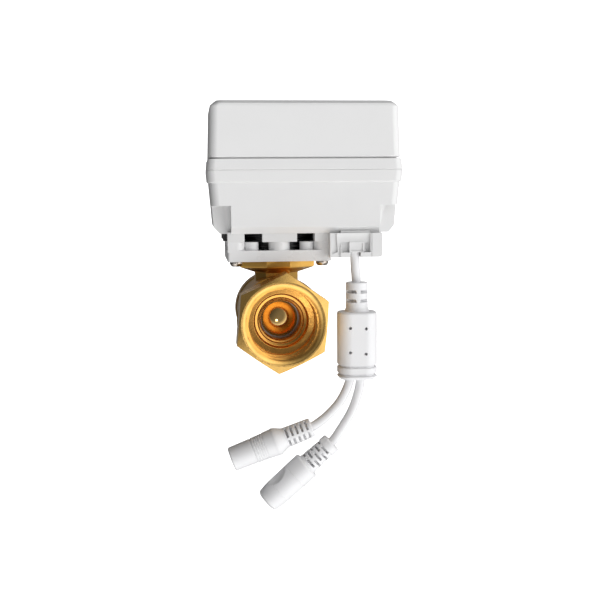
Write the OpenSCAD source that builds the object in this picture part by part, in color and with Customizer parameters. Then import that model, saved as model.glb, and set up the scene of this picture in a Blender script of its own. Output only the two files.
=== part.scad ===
// Motorized ball valve: a brass two-way valve with a plastic quarter-turn actuator.
// Millimetres. +Z is up along the stem, +Y runs along the pipe away from the near port,
// and the origin is on the pipe axis at the first full thread of the near port.

/* [Valve] */
// Length of the valve over its two end faces
valve_length = 56.5; // [56:0.5:60]
// Width across the flats of the hexagon on the end cap
hex_flats = 31; // [30.5:0.5:33]
// Diameter of the ball
ball_d = 26.4; // [26:0.1:26.6]
// Diameter of the passage through the ball
ball_port_d = 12; // [8:0.5:13]
// Outside diameter of the cast body at the stem
body_d = 30; // [29.6:0.2:31]

/* [Pipe thread] */
// Major diameter of the pipe thread (G 3/4)
thread_major_d = 26.44; // [26.44:0.01:26.6]
// Minor diameter of the pipe thread (G 3/4)
thread_minor_d = 24.12; // [24.1:0.01:24.3]
// Pitch of the thread
thread_pitch = 1.814; // [1.7:0.002:1.85]
// Number of full thread crests in a port
thread_crests = 5; // [3:1:5]

/* [Housing] */
// Width of the housing at its parting line
house_w = 69.6; // [67:0.2:70]
// Depth of the housing at its parting line
house_d = 47; // [47:1:52]
// Distance of the housing's middle from the stem axis
house_shift = 9.2; // [9:0.1:10.6]
// Height of the top of the cover above the pipe axis
cover_top_z = 77.9; // [77.4:0.1:80]
// Height of the parting line between base and cover
parting_z = 53.6; // [53.4:0.1:53.8]
// Wall thickness
wall = 2.4; // [2:0.1:2.6]

/* [Bracket] */
// Width of the square bracket
bracket_w = 37.2; // [36.8:0.1:37.6]
// Half the pitch of the four screws between bracket and housing
bracket_screw_half = 15.5; // [15.3:0.1:15.6]

/* [Gears] */
// Module of the output gear and the last pinion
module_last = 0.8; // [0.8:0.1:0.8]
// Module of the middle pair
module_middle = 0.6; // [0.6:0.1:0.6]
// Module of the motor pinion and the first wheel
module_first = 0.5; // [0.5:0.1:0.5]

/* [Cable] */
// Outside diameter of the cable and of both leads
cable_d = 3.4; // [3:0.1:3.4]
// Outside diameter of a connector at its collar
connector_d = 10.4; // [10:0.1:11]
// Width of the splitter
splitter_w = 14.1; // [13.8:0.1:14.6]

/* [Hidden] */
$fn = 64;
eps = 0.1;
running_gap = 0.05;

// ---------------------------------------------------------------- valve
port_face_y = -1.5;
inlet_reach = 31;
stem_y = port_face_y + inlet_reach;
outlet_face_y = port_face_y + valve_length;
collar_y = outlet_face_y - 9;
collar_r = 14.6;
body_front_r = 15.8;
body_back_r = 14.2;
hex_length = 12;
hex_turn = 25;
thread_major_r = thread_major_d / 2;
thread_minor_r = thread_minor_d / 2;
crest_start_y = -0.1;
groove_mouth = 0.48;
groove_deep = 0.6;
mouth_r = 14.1;
step_r = 9.6;
lip_r = 7.1;
thread_end_y = 8.6;
lip_y = 10.9;
seat_front_y = 17.2;
seat_r = 10;
seat_hole_r = 6.7;
seat_back_y = 19.4;
cap_back_y = port_face_y + hex_length;
spigot_r = 14.2;
cavity_r = 13.6;
ball_r = ball_d / 2;
stem_r = 4;
stem_shoulder_r = 5.5;
stem_shoulder_z = 13.4;
washer_z = 15;
washer_t = 0.8;
stem_ring_z = [17.6, 20.2];
stem_ring_tube = 0.62;
stem_square = 5.6;
stem_top_z = 30;
tang_w = 3;
tang_l = 8;
tang_z = 10.2;
pad_top_z = 21.2;
pilot_r = 6.6;
pilot_z = 22.6;
neck_outline = [
    [4.3, 7.6], [7.9, 3.2], [7.9, -3.2], [4.3, -7.6],
    [-4.3, -7.6], [-7.9, -3.2], [-7.9, 3.2], [-4.3, 7.6]
];
pad_outline = [
    [4.3, 12], [13.8, 5.5], [13.8, -5.5], [4.3, -12],
    [-4.3, -12], [-13.8, -5.5], [-13.8, 5.5], [-4.3, 12]
];
pad_screw_x = 9.5;
pad_screw_y = 5.5;

// -------------------------------------------------------------- bracket
bracket_floor_z = 23.4;
bracket_wall_z = 25.15;
bracket_top_z = 28.2;
bracket_wall = 3.2;
hub_r = 3.9;
post_x = 10;
post_r = 2.6;
post_set_back = 1.4;
column_in = 16.3;
tooth_half = 6.2;
corner_tooth_in = 12.6;
lock_ring_z = 25.3;
lock_ring_r = 15;
lock_ring_hole_r = 11.5;

// -------------------------------------------------------------- housing
base_bottom_z = 31.2;
bevel_z = 33.6;
rim_bottom_z = 49.4;
cover_seam_z = 57.6;
floor_z = base_bottom_z + wall;
corner_r = 3;
pocket_in_x = 8.3;
pocket_in_y = 7;
pocket_roof_z = 41.2;
pocket_wall = 1.6;
screw_inset = 4.2;
head_top_z = 44;
cover_boss_r = 3.5;
gasket_t = 0.8;
gasket_w = 1.6;

// Cable hood under the right-hand end of the base, narrower beside the bracket
hood_x = [17.6, 36.4];
hood_y = [7, 24];
hood_step_x = 20.4;
hood_step_y = 10.6;
hood_z = 22.6;
hood_recess_x = [21.5, 32.2];
hood_recess_z = [24.2, 28.1];
hood_way_x = [23.4, 30.4];
hood_way_y = [8.6, 18];
grommet_x = [24.6, 30.1];
grommet_front_y = 7.6;
grommet_plate_y = [11.2, 12.6];

// ---------------------------------------------------------------- gears
pressure_angle = 25;
tooth_share = 0.92;
output_teeth = 40;
last_pinion_teeth = 12;
middle_wheel_teeth = 36;
middle_pinion_teeth = 12;
first_wheel_teeth = 42;
motor_pinion_teeth = 14;
angle_to_two = 14;
angle_to_one = -68;
angle_to_motor = 80;
output_axis = [0, stem_y];
axis_two = output_axis
    + polar(module_last * (output_teeth + last_pinion_teeth) / 2, angle_to_two);
axis_one = axis_two
    + polar(module_middle * (middle_wheel_teeth + middle_pinion_teeth) / 2, angle_to_one);
motor_axis = axis_one
    + polar(module_first * (first_wheel_teeth + motor_pinion_teeth) / 2, angle_to_motor);
layer_one_z = [37.6, 41.1];
layer_two_z = [41.6, 44.4];
layer_three_z = [44.9, 47.7];
axle_r = 1;
shaft_low_r = 5;
shaft_high_r = 4;
shaft_step_z = 42.2;
shaft_bottom_z = 24.3;
shaft_top_z = 58;
bush_r = 7;
cam_z = [51.8, 56.8];
cam_r = 7.2;
lobe_r = 1.2;
lobe_x = 7.4;

// --------------------------------------------------- plates and mechanics
lower_plate_z = 35.6;
upper_plate_z = 50;
plate_t = 1.2;
plate_x = [-18.6, 38];
plate_y = [11, 49];
wire_pass = [37, 17];
spacers = [[-16.6, 18], [12, 13], [30.4, 46.4], [-16.6, 41]];
spacer_r = 2;
motor_r = 9.3;
motor_top_z = 68.6;
motor_screw_circle = 7;
terminal_half = 3.2;
motor_screw_angles = [40, 220];
switch_size = [6.6, 12.8, 5.8];
plunger_reach = 9;
plunger_r = 0.9;
board_z = 63;
board_t = 1.6;
board_x = [-16.5, 14];
board_y = [13.5, 45.5];
board_posts = [[-12.3, 15.2], [-12.3, 43.8], [11, 17.5], [11.5, 43]];

// ------------------------------------------------------ cable and leads
cable_y = 10;
cable_r = cable_d / 2;
cord_sides = 8;
splitter_x = 27.6;
splitter_z = [-21.6, 2.9];
splitter_deep = 12;
splitter_corner = 4.6;
neck_r = 3.95;
neck_top_z = 13.5;
connector_a_tip = [-18.4, -50.4];
connector_a_angle = 20.6;
connector_b_tip = [-5.8, -66.5];
connector_b_angle = 41.5;
socket_depth = 9.5;
sleeve_r = 3.5;
sleeve_hole_r = 2.8;
socket_pin_r = 1.05;

// Routes in the plane of the cable, as [x, z]
cable_route = [
    [26.8, 28], [26.8, 26], [26.8, 24], [26.9, 22], [27, 20], [27.1, 18], [27.3, 16],
    [27.4, 14], [27.5, 12], [27.5, 9], [27.5, 6], [27.5, 3], [27.5, 0], [27.5, -3], [27.5, -6]
];
lead_a_route = [
    [25.1, -12], [25.1, -16], [25.1, -19], [25.1, -21.6], [24.5, -23.9],
    [23.6, -26.2], [22.6, -28.2], [21.4, -30.2], [19.8, -32.2], [18, -34.1], [16, -35.9],
    [13.8, -37.6], [11.2, -39.2], [8.6, -40.2], [6, -41.2], [3.6, -42.1]
];
lead_b_route = [
    [28.9, -12], [28.9, -16], [28.9, -19], [28.9, -21.6], [28.7, -24], [28.3, -26.2],
    [27.8, -28], [27.2, -30], [26.4, -32.2], [25.3, -34.6], [23.9, -37], [22.4, -39.4],
    [20.8, -41.8], [19.6, -43.6], [18, -45.4], [16, -47.2], [14, -49], [12.2, -50.6]
];
// Routes of the single wires inside the housing, as [x, y, z]
supply_route = [
    [27, 9.2, 28.1], [27, 9.8, 31], [28, 11.4, 33.4], [30.2, 13.4, 34.3], [32.6, 15.4, 34.3],
    [35.4, 16, 35], [37.2, 16.2, 38.4], [37.2, 16.2, 42], [37.2, 16, 54], [35.4, 15.6, 61],
    [29, 15.6, 67], [21, 16, 70.6], [13, 16.6, 72], [9, 16.6, 72], [7.4, 16.6, 71.7],
    [6.5, 16.6, 70.8], [6.4, 16.6, 69.4]
];
motor_wire_route = [
    [24.6, 35, 72.4], [21.4, 34.6, 72.6], [18.4, 33.4, 71.8], [15.6, 32.2, 69.6],
    [13.2, 31, 67.4], [11.6, 30.4, 65.4]
];
wire_r = 0.6;
wire_step = [-0.4, 1.9, 0];

function polar(r, a) = [r * cos(a), r * sin(a)];
function unit(v) = v / norm(v);

// ------------------------------------------------------------- helpers

// Turns the children so that their +Z runs along +Y
module along_y() {
    rotate([-90, 0, 0]) children();
}

// Solid of revolution about the pipe axis from an outline of [radius, y]
module lathe_y(outline) {
    along_y() rotate_extrude($fn = 96) polygon(outline);
}

// Mirrors the children to the far side of the stem axis
module far_side() {
    translate([0, 2 * stem_y, 0]) mirror([0, 1, 0]) children();
}

// Mirrors the children from the inlet to the outlet
module at_outlet() {
    translate([0, port_face_y + outlet_face_y, 0]) mirror([0, 1, 0]) children();
}

// Cylinder along Z from one height to another
module post(x, y, z0, z1, r) {
    translate([x, y, z0]) cylinder(r = r, h = z1 - z0);
}

// Ring along Z
module ring(x, y, z0, z1, r_out, r_in) {
    difference() {
        post(x, y, z0, z1, r_out);
        post(x, y, z0 - eps, z1 + eps, r_in);
    }
}

// Round-section ring about the stem axis
module o_ring(z, r_mid, r_tube) {
    translate([0, stem_y, z])
        rotate_extrude() translate([r_mid, 0]) circle(r = r_tube, $fn = 24);
}

// Closed block through levels of [width, depth, height, corner radius], lowest first,
// round the axis at middle = [x, y]
module levels(list, middle = [house_shift, stem_y]) {
    steps = 8;
    count = 4 * (steps + 1);
    points = [
        for (level = list, c = [0:3], k = [0:steps])
            let (r = level[3], a = 90 * c + 90 * k / steps,
                 sx = c == 0 || c == 3 ? 1 : -1, sy = c < 2 ? 1 : -1)
                [middle[0] + sx * (level[0] / 2 - r) + r * cos(a),
                 middle[1] + sy * (level[1] / 2 - r) + r * sin(a), level[2]]
    ];
    walls = [
        for (i = [0:len(list) - 2], k = [0:count - 1])
            let (a = i * count + k, b = i * count + (k + 1) % count)
                [a, a + count, b + count, b]
    ];
    low_face = [for (k = [0:count - 1]) k];
    high_face = [for (k = [count - 1:-1:0]) (len(list) - 1) * count + k];
    polyhedron(points = points, faces = concat(walls, [low_face], [high_face]));
}

// Places the children at four points round the stem axis
module four_corners(dx, dy) {
    for (sx = [-1, 1], sy = [-1, 1])
        translate([sx * dx, stem_y + sy * dy, 0]) children();
}

// Places the children on the four sides of the stem axis
module four_sides() {
    for (turn = [0:90:270])
        translate([0, stem_y, 0]) rotate(turn) children();
}

// Axis of a housing screw in the corner (sx, sy)
function screw_x(sx) = house_shift + sx * (house_w / 2 - screw_inset);
function screw_y(sy) = stem_y + sy * (house_d / 2 - screw_inset);
function house_corner(sx, sy) = [house_shift + sx * house_w / 2, stem_y + sy * house_d / 2];

// Places the children at the axis of each housing screw
module at_cover_screws() {
    for (sx = [-1, 1], sy = [-1, 1])
        translate([screw_x(sx), screw_y(sy), 0]) children();
}

// Round tube with flat sides along a list of points
module tube(points, r, sides, reference) {
    count = len(points);
    tangents = [
        for (i = [0:count - 1])
            unit(points[min(i + 1, count - 1)] - points[max(i - 1, 0)])
    ];
    rings = [
        for (i = [0:count - 1])
            let (across = unit(cross(tangents[i], reference)), over = cross(across, tangents[i]))
                for (k = [0:sides - 1])
                    points[i] + r * (cos(360 * k / sides) * across + sin(360 * k / sides) * over)
    ];
    walls = [
        for (i = [0:count - 2], k = [0:sides - 1])
            let (a = i * sides + k, b = i * sides + (k + 1) % sides)
                [a, a + sides, b + sides, b]
    ];
    first = [for (k = [0:sides - 1]) k];
    last = [for (k = [sides - 1:-1:0]) (count - 1) * sides + k];
    polyhedron(points = rings, faces = concat(walls, [first], [last]));
}

// Cord in the plane of the cable
module cord(route) {
    tube([for (p = route) [p[0], cable_y, p[1]]], cable_r, cord_sides, [0, 1, 0]);
}

// --------------------------------------------------------------- gears

// Involute function, in degrees
function involute(a) = tan(a) * 180 / PI - a;

// Half the angle that a tooth takes at radius r
function half_tooth(r, pitch_r, teeth) =
    let (base_r = pitch_r * cos(pressure_angle))
        90 * tooth_share / teeth + involute(pressure_angle)
        - involute(acos(min(1, base_r / max(r, base_r))));

// Outline of a spur gear with one tooth centred on the angle phase
module gear_outline(gear_module, teeth, phase) {
    pitch_r = gear_module * teeth / 2;
    radii = [
        pitch_r - 1.15 * gear_module,
        max(pitch_r * cos(pressure_angle), pitch_r - 0.8 * gear_module),
        pitch_r,
        pitch_r + 0.45 * gear_module,
        pitch_r + 0.85 * gear_module
    ];
    last = len(radii) - 1;
    polygon([
        for (i = [0:teeth - 1])
            let (mid = phase + 360 * i / teeth)
                each concat(
                    [for (k = [0:last]) polar(radii[k], mid - half_tooth(radii[k], pitch_r, teeth))],
                    [for (k = [last:-1:0]) polar(radii[k], mid + half_tooth(radii[k], pitch_r, teeth))]
                )
    ]);
}

module gear(axis, z_range, gear_module, teeth, phase) {
    translate([axis[0], axis[1], z_range[0]])
        linear_extrude(z_range[1] - z_range[0]) gear_outline(gear_module, teeth, phase);
}

// --------------------------------------------------------------- valve

// Outline of the thread from the mouth inwards: narrow grooves at the thread's pitch, so that
// the wall at the minor diameter stays one wall
function groove_y(i) = crest_start_y + i * thread_pitch;
function thread_outline() = [
    for (i = [1:thread_crests - 1])
        each [
            [thread_minor_r, groove_y(i) - groove_mouth / 2],
            [thread_minor_r + groove_deep, groove_y(i)],
            [thread_minor_r, groove_y(i) + groove_mouth / 2]
        ]
];

// Lead-in and thread of a port, from outside its face; steps is what follows, down to the axis
module port_space(steps) {
    lathe_y(concat(
        [[0, port_face_y - 1], [mouth_r, port_face_y - 1], [mouth_r, port_face_y]],
        [[thread_major_r, crest_start_y - 0.7], [thread_minor_r, crest_start_y]],
        thread_outline(),
        [[thread_minor_r, thread_end_y]],
        steps
    ));
}

// Hexagon of a port with its turned chamfers
module port_hexagon() {
    corner_r_hex = hex_flats / 2 / cos(30);
    front_bevel = 1.7;
    back_bevel = 1.2;
    intersection() {
        translate([0, port_face_y, 0]) along_y() rotate(-hex_turn)
            cylinder(r = corner_r_hex, h = hex_length, $fn = 6);
        lathe_y([
            [0, port_face_y], [hex_flats / 2 - 0.15, port_face_y],
            [corner_r_hex + 0.2, port_face_y + front_bevel],
            [corner_r_hex + 0.2, cap_back_y - back_bevel],
            [corner_r_hex - 1, cap_back_y], [0, cap_back_y]
        ]);
    }
}

module valve_body() {
    seat_wall_y = 2 * stem_y - seat_front_y;
    seat_edge_y = 2 * stem_y - seat_back_y;
    color("goldenrod") difference() {
        union() {
            lathe_y([
                [0, cap_back_y], [body_front_r - 0.6, cap_back_y],
                [body_front_r, cap_back_y + 0.8], [body_d / 2, stem_y],
                [body_back_r, collar_y], [collar_r - 0.2, collar_y + 0.2],
                [collar_r, collar_y + 0.6], [collar_r, outlet_face_y - 0.6],
                [collar_r - 0.4, outlet_face_y], [0, outlet_face_y]
            ]);
            translate([0, stem_y, 8]) linear_extrude(10) polygon(neck_outline);
            translate([0, stem_y, 18.4]) linear_extrude(pad_top_z - 18.4) polygon(pad_outline);
            hull() {
                translate([0, stem_y, 18.4]) linear_extrude(0.01) polygon(pad_outline);
                translate([0, stem_y, 16.6]) linear_extrude(0.01) polygon(neck_outline * 1.45);
            }
            post(0, stem_y, pad_top_z - eps, pilot_z, pilot_r);
        }
        lathe_y([
            [0, cap_back_y - eps], [spigot_r + 0.02, cap_back_y - eps],
            [spigot_r + 0.02, seat_back_y + eps], [cavity_r, seat_back_y + eps],
            [cavity_r, stem_y + 4], [seat_r + 0.8, seat_edge_y], [seat_r + 0.02, seat_edge_y],
            [seat_r + 0.02, seat_wall_y], [0, seat_wall_y]
        ]);
        at_outlet() port_space([
            [lip_r, thread_end_y + 0.2], [lip_r, cap_back_y + 2], [0, cap_back_y + 2]
        ]);
        post(0, stem_y, 0, washer_z + washer_t, stem_shoulder_r + 0.1);
        post(0, stem_y, 0, pilot_z + eps, stem_r + running_gap);
        four_corners(pad_screw_x, pad_screw_y) post(0, 0, 17.6, pad_top_z + eps, 1.25);
    }
}

module end_cap() {
    color("goldenrod") difference() {
        union() {
            port_hexagon();
            translate([0, cap_back_y - eps, 0]) along_y()
                cylinder(r = spigot_r, h = seat_back_y - cap_back_y + eps);
        }
        port_space([
            [step_r, thread_end_y + 0.3], [step_r, lip_y - 0.5], [lip_r, lip_y],
            [lip_r, seat_front_y + eps], [0, seat_front_y + eps]
        ]);
        translate([0, seat_front_y, 0]) along_y() cylinder(r = seat_r + 0.02, h = 10);
        lathe_y([[12.8, 13.4], [15, 13.4], [15, 14.8], [12.8, 14.8]]);
    }
}

module cap_seal() {
    color("black") along_y() translate([0, 0, 14.1])
        rotate_extrude() translate([13.5, 0]) circle(r = 0.68, $fn = 24);
}

module seat() {
    difference() {
        translate([0, seat_front_y, 0]) along_y() cylinder(r = seat_r, h = seat_back_y - seat_front_y);
        translate([0, seat_front_y - eps, 0]) along_y() cylinder(r = seat_hole_r, h = 10);
        translate([0, stem_y, 0]) sphere(r = ball_r + 0.03, $fn = 96);
    }
}

module seat_front() {
    color("gainsboro") seat();
}

module seat_rear() {
    color("gainsboro") far_side() seat();
}

// The ball is shown closed: its passage lies across the pipe
module ball() {
    color("goldenrod") difference() {
        translate([0, stem_y, 0]) sphere(r = ball_r, $fn = 96);
        translate([-20, stem_y, 0]) rotate([0, 90, 0]) cylinder(d = ball_port_d, h = 40);
        translate([-tang_w / 2 - 0.05, stem_y - 10, tang_z - 0.2]) cube([tang_w + 0.1, 20, 6]);
    }
}

module stem() {
    color("silver") difference() {
        union() {
            intersection() {
                translate([-tang_w / 2, stem_y - tang_l / 2, tang_z])
                    cube([tang_w, tang_l, stem_shoulder_z - tang_z + eps]);
                post(0, stem_y, tang_z - eps, 20, stem_shoulder_r);
            }
            post(0, stem_y, stem_shoulder_z, washer_z, stem_shoulder_r);
            post(0, stem_y, washer_z - eps, pilot_z + 0.6, stem_r);
            translate([-stem_square / 2, stem_y - stem_square / 2, pilot_z])
                cube([stem_square, stem_square, stem_top_z - pilot_z]);
        }
        for (z = stem_ring_z)
            ring(0, stem_y, z - 0.75, z + 0.75, stem_r + 1, stem_r - 1.22);
    }
}

module stem_washer() {
    color("white")
        ring(0, stem_y, washer_z, washer_z + washer_t, stem_shoulder_r, stem_r + running_gap);
}

module stem_rings() {
    color("black") for (z = stem_ring_z)
        o_ring(z, stem_r - 0.6, stem_ring_tube);
}

// ------------------------------------------------------------- bracket

// Front view of one side wall, whose ends sweep up to the corners
module crown_outline() {
    half = bracket_w / 2;
    rise = bracket_top_z - bracket_wall_z;
    translate([-half, pad_top_z]) square([bracket_w, bracket_wall_z - pad_top_z]);
    for (side = [0, 1]) mirror([side, 0]) difference() {
        translate([column_in - rise, bracket_wall_z - eps])
            square([half - column_in + rise, rise + eps]);
        translate([column_in - rise, bracket_top_z]) circle(r = rise);
    }
}

// Round-fronted hub in the middle of one side and a round post on each side of it
module bracket_posts() {
    half = bracket_w / 2;
    intersection() {
        post(0, hub_r - half, pad_top_z, bracket_top_z, hub_r);
        translate([-half, -half, pad_top_z]) cube([bracket_w, bracket_wall, 10]);
    }
    for (side = [-1, 1])
        post(side * post_x, post_set_back + post_r - half, pad_top_z, bracket_top_z, post_r);
}

module bracket() {
    half = bracket_w / 2;
    color("whitesmoke") difference() {
        union() {
            translate([-half, stem_y - half, pad_top_z])
                cube([bracket_w, bracket_w, bracket_floor_z - pad_top_z]);
            four_sides() {
                translate([0, -half, 0]) rotate([90, 0, 0]) mirror([0, 0, 1])
                    linear_extrude(bracket_wall) crown_outline();
                bracket_posts();
            }
            four_corners(bracket_screw_half, bracket_screw_half)
                post(0, 0, pad_top_z, bracket_top_z, half - bracket_screw_half - 0.2);
        }
        post(0, stem_y, pad_top_z - eps, bracket_floor_z + eps, pilot_r + running_gap);
        four_corners(pad_screw_x, pad_screw_y)
            post(0, 0, pad_top_z - eps, bracket_floor_z + eps, 1.4);
        four_corners(bracket_screw_half, bracket_screw_half)
            post(0, 0, pad_top_z - eps, bracket_top_z + eps, 1.6);
    }
}

module flange_screws() {
    color("silver") four_corners(pad_screw_x, pad_screw_y) difference() {
        union() {
            post(0, 0, 17.8, bracket_floor_z + eps, 1.25);
            post(0, 0, bracket_floor_z, bracket_floor_z + 1.4, 2.3);
        }
        for (turn = [0, 90]) rotate(turn)
            translate([-1.2, -0.25, bracket_floor_z + 0.7]) cube([2.4, 0.5, 1]);
    }
}

module bracket_screws() {
    head_h = 1.8;
    color("silver") four_corners(bracket_screw_half, bracket_screw_half) difference() {
        union() {
            post(0, 0, pad_top_z - eps, 34.4, 1.3);
            translate([0, 0, pad_top_z - head_h]) cylinder(r1 = 1.8, r2 = 2.35, h = 0.7);
            post(0, 0, pad_top_z - head_h + 0.7, pad_top_z, 2.35);
        }
        for (turn = [0, 90]) rotate(turn)
            translate([-1.3, -0.3, pad_top_z - head_h - eps]) cube([2.6, 0.6, 0.9]);
    }
}

module lock_ring() {
    ear_root = 8;
    ear_reach = 20;
    ear_w = 5.2;
    color("#1c1c1e") difference() {
        union() {
            post(0, stem_y, lock_ring_z, base_bottom_z, lock_ring_r - 1);
            for (z = [25.9, 27.7, 29.5]) post(0, stem_y, z, z + 0.9, lock_ring_r);
            four_corners((ear_reach + ear_root) / 2, 9.4)
                translate([-(ear_reach - ear_root) / 2, -ear_w / 2, bracket_top_z + 0.2])
                    cube([ear_reach - ear_root, ear_w, 2.6]);
        }
        post(0, stem_y, 20, 40, lock_ring_hole_r);
    }
}

// ------------------------------------------------------------- housing

// Level of the housing that stands in from the parting line by the same amount all round
function house_level(inset, z, r = corner_r) = [house_w - 2 * inset, house_d - 2 * inset, z, r];

module base_outside() {
    levels([
        house_level(4.3, base_bottom_z), house_level(2.2, bevel_z),
        house_level(0.9, rim_bottom_z), house_level(0.4, rim_bottom_z + 0.05),
        house_level(0, parting_z)
    ]);
}

module base_inside() {
    levels([house_level(3.7, floor_z, 2), house_level(2.5, parting_z + eps, 2)]);
}

// Teeth under the base that rest on the bracket
module base_teeth() {
    half = bracket_w / 2;
    tooth_h = base_bottom_z - bracket_top_z + 1;
    four_sides()
        translate([-tooth_half, -half, bracket_top_z]) cube([2 * tooth_half, bracket_wall, tooth_h]);
    four_corners((half + corner_tooth_in) / 2, (half + corner_tooth_in) / 2)
        translate([-(half - corner_tooth_in) / 2, -(half - corner_tooth_in) / 2, bracket_top_z])
            cube([half - corner_tooth_in, half - corner_tooth_in, tooth_h]);
}

// Block on a corner of the housing that reaches in over a screw pocket; its inner edge is sharp
// at the low end and round at the high end
module pocket_block(sx, sy, z0, z1, margin) {
    across = 2 * (pocket_in_x + margin);
    along = 2 * (pocket_in_y + margin);
    levels([
        [across, along, z0, 0.4], [across, along, base_bottom_z + eps, 0.4],
        [across, along, z1, 3.6]
    ], house_corner(sx, sy));
}

// Part of the hood between two distances along the pipe, starting at x0
module hood_block(x0, y0, y1, top_z) {
    corner = 0.8;
    translate([0, y1, 0]) rotate([90, 0, 0])
        linear_extrude(y1 - y0)
            polygon([
                [x0, top_z], [x0, hood_z + 0.6], [x0 + 0.6, hood_z],
                [hood_x[1] - corner, hood_z], [hood_x[1], hood_z + corner], [hood_x[1], top_z]
            ]);
}

// Box from which the cable hangs, open at the front
module cable_hood() {
    hood_block(hood_x[0], hood_y[0], hood_step_y, base_bottom_z);
    hood_block(hood_step_x, hood_step_y - eps, hood_y[1], base_bottom_z + 1);
}

module hood_space() {
    notch_r = cable_r + 0.15;
    recess_w = hood_recess_x[1] - hood_recess_x[0];
    recess_h = hood_recess_z[1] - hood_recess_z[0];
    translate([hood_recess_x[0], hood_y[0] - eps, hood_recess_z[0]])
        cube([recess_w, 11 + eps, recess_h]);
    translate([hood_way_x[0], hood_way_y[0], hood_recess_z[0]])
        cube([hood_way_x[1] - hood_way_x[0], hood_way_y[1] - hood_way_y[0],
              floor_z - hood_recess_z[0] + eps]);
    post(cable_route[2][0], cable_y, hood_z - eps, hood_recess_z[0] + eps, notch_r);
    translate([cable_route[2][0] - notch_r, hood_y[0] - eps, hood_z - eps])
        cube([2 * notch_r, cable_y - hood_y[0] + eps, hood_recess_z[0] - hood_z + 2 * eps]);
    for (x = [18.6, 19.9])
        translate([x, hood_y[0] - eps, hood_z - eps]) cube([0.5, 1.2, 4.2]);
}

module base_shell() {
    color("whitesmoke") difference() {
        union() {
            difference() {
                union() {
                    base_outside();
                    cable_hood();
                    base_teeth();
                }
                base_inside();
            }
            intersection() {
                levels([house_level(3.5, floor_z - 1), house_level(2.3, parting_z)]);
                for (sx = [-1, 1], sy = [-1, 1]) {
                    pocket_block(sx, sy, base_bottom_z, pocket_roof_z + wall, pocket_wall);
                    post(screw_x(sx), screw_y(sy), pocket_roof_z + 1, parting_z + 1, 3.6);
                }
            }
            for (p = spacers) post(p[0], p[1], floor_z - eps, lower_plate_z, 2.6);
            four_corners(bracket_screw_half, bracket_screw_half)
                post(0, 0, floor_z - eps, lower_plate_z - 0.2, 2.6);
        }
        for (sx = [-1, 1], sy = [-1, 1]) {
            pocket_block(sx, sy, base_bottom_z - 0.4, pocket_roof_z, 0);
            post(screw_x(sx), screw_y(sy), pocket_roof_z - eps, head_top_z, 2.4);
            post(screw_x(sx), screw_y(sy), pocket_roof_z, parting_z + eps, 1.45);
        }
        gasket_band(parting_z - gasket_t, parting_z + eps);
        post(0, stem_y, base_bottom_z - 1, floor_z + eps, bush_r);
        for (p = spacers) post(p[0], p[1], floor_z - 1, lower_plate_z + eps, 1.25);
        four_corners(bracket_screw_half, bracket_screw_half)
            post(0, 0, bracket_top_z - eps, 34.8, 1.3);
        hood_space();
    }
}

// Band round the base's rim, between two heights
module gasket_band(z0, z1) {
    outer = 1;
    inner = outer + gasket_w;
    difference() {
        levels([house_level(outer, z0, 2.4), house_level(outer, z1, 2.4)]);
        levels([house_level(inner, z0 - eps, 1.6), house_level(inner, z1 + eps, 1.6)]);
    }
}

module cover_gasket() {
    color("dimgray") gasket_band(parting_z - gasket_t, parting_z);
}

module top_cover() {
    color("whitesmoke") difference() {
        union() {
            difference() {
                levels([
                    house_level(0, parting_z), house_level(0.5, cover_seam_z),
                    house_level(0.9, cover_seam_z + 0.05), house_level(1.4, cover_top_z - 1.9),
                    [house_w - 4.6, house_d - 3.1, cover_top_z - 1.1, corner_r],
                    [house_w - 7.2, house_d - 6.4, cover_top_z, corner_r]
                ]);
                levels([
                    house_level(2.7, parting_z - eps, 2),
                    house_level(3.4, cover_top_z - 2.8, 2)
                ]);
            }
            intersection() {
                levels([house_level(2.3, parting_z), house_level(3, cover_top_z - 2)]);
                at_cover_screws() post(0, 0, parting_z - 1, 66, cover_boss_r);
            }
        }
        at_cover_screws() post(0, 0, parting_z - eps, 64, 1.3);
    }
}

module cover_screws() {
    color("silver") at_cover_screws() difference() {
        union() {
            post(0, 0, head_top_z - 1.6, head_top_z, 2.2);
            post(0, 0, head_top_z - eps, 62, 1.3);
        }
        for (turn = [0, 90]) rotate(turn)
            translate([-1.2, -0.28, head_top_z - 1.7]) cube([2.4, 0.56, 0.9]);
    }
}

// --------------------------------------------------------- output train

module shaft_bush() {
    color("burlywood") difference() {
        union() {
            post(0, stem_y, 29.4, floor_z + eps, bush_r);
            post(0, stem_y, floor_z, floor_z + 1, bush_r + 1.6);
        }
        post(0, stem_y, 29, 40, shaft_low_r + running_gap);
    }
}

module shaft_seal() {
    color("black") o_ring(30.9, shaft_low_r - 0.57, 0.6);
}

module output_shaft() {
    socket = stem_square + 0.1;
    color("silver") difference() {
        union() {
            post(0, stem_y, shaft_bottom_z, shaft_step_z, shaft_low_r);
            post(0, stem_y, shaft_step_z - eps, shaft_top_z, shaft_high_r);
        }
        translate([-socket / 2, stem_y - socket / 2, shaft_bottom_z - eps])
            cube([socket, socket, stem_top_z + 0.6 - shaft_bottom_z]);
        ring(0, stem_y, 30.2, 31.6, shaft_low_r + 1, shaft_low_r - 1.17);
        translate([-5, stem_y - 0.6, shaft_top_z - 1.2]) cube([10, 1.2, 2]);
    }
}

module output_gear() {
    color("ivory") difference() {
        union() {
            gear(output_axis, layer_one_z, module_last, output_teeth, angle_to_two);
            post(0, stem_y, 36.9, layer_one_z[0] + eps, 7.5);
        }
        post(0, stem_y, 36, 42, shaft_low_r);
        for (turn = [30:60:330])
            translate([0, stem_y, 0]) rotate(turn) post(10.4, 0, 37, 42, 2.2);
    }
}

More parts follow.
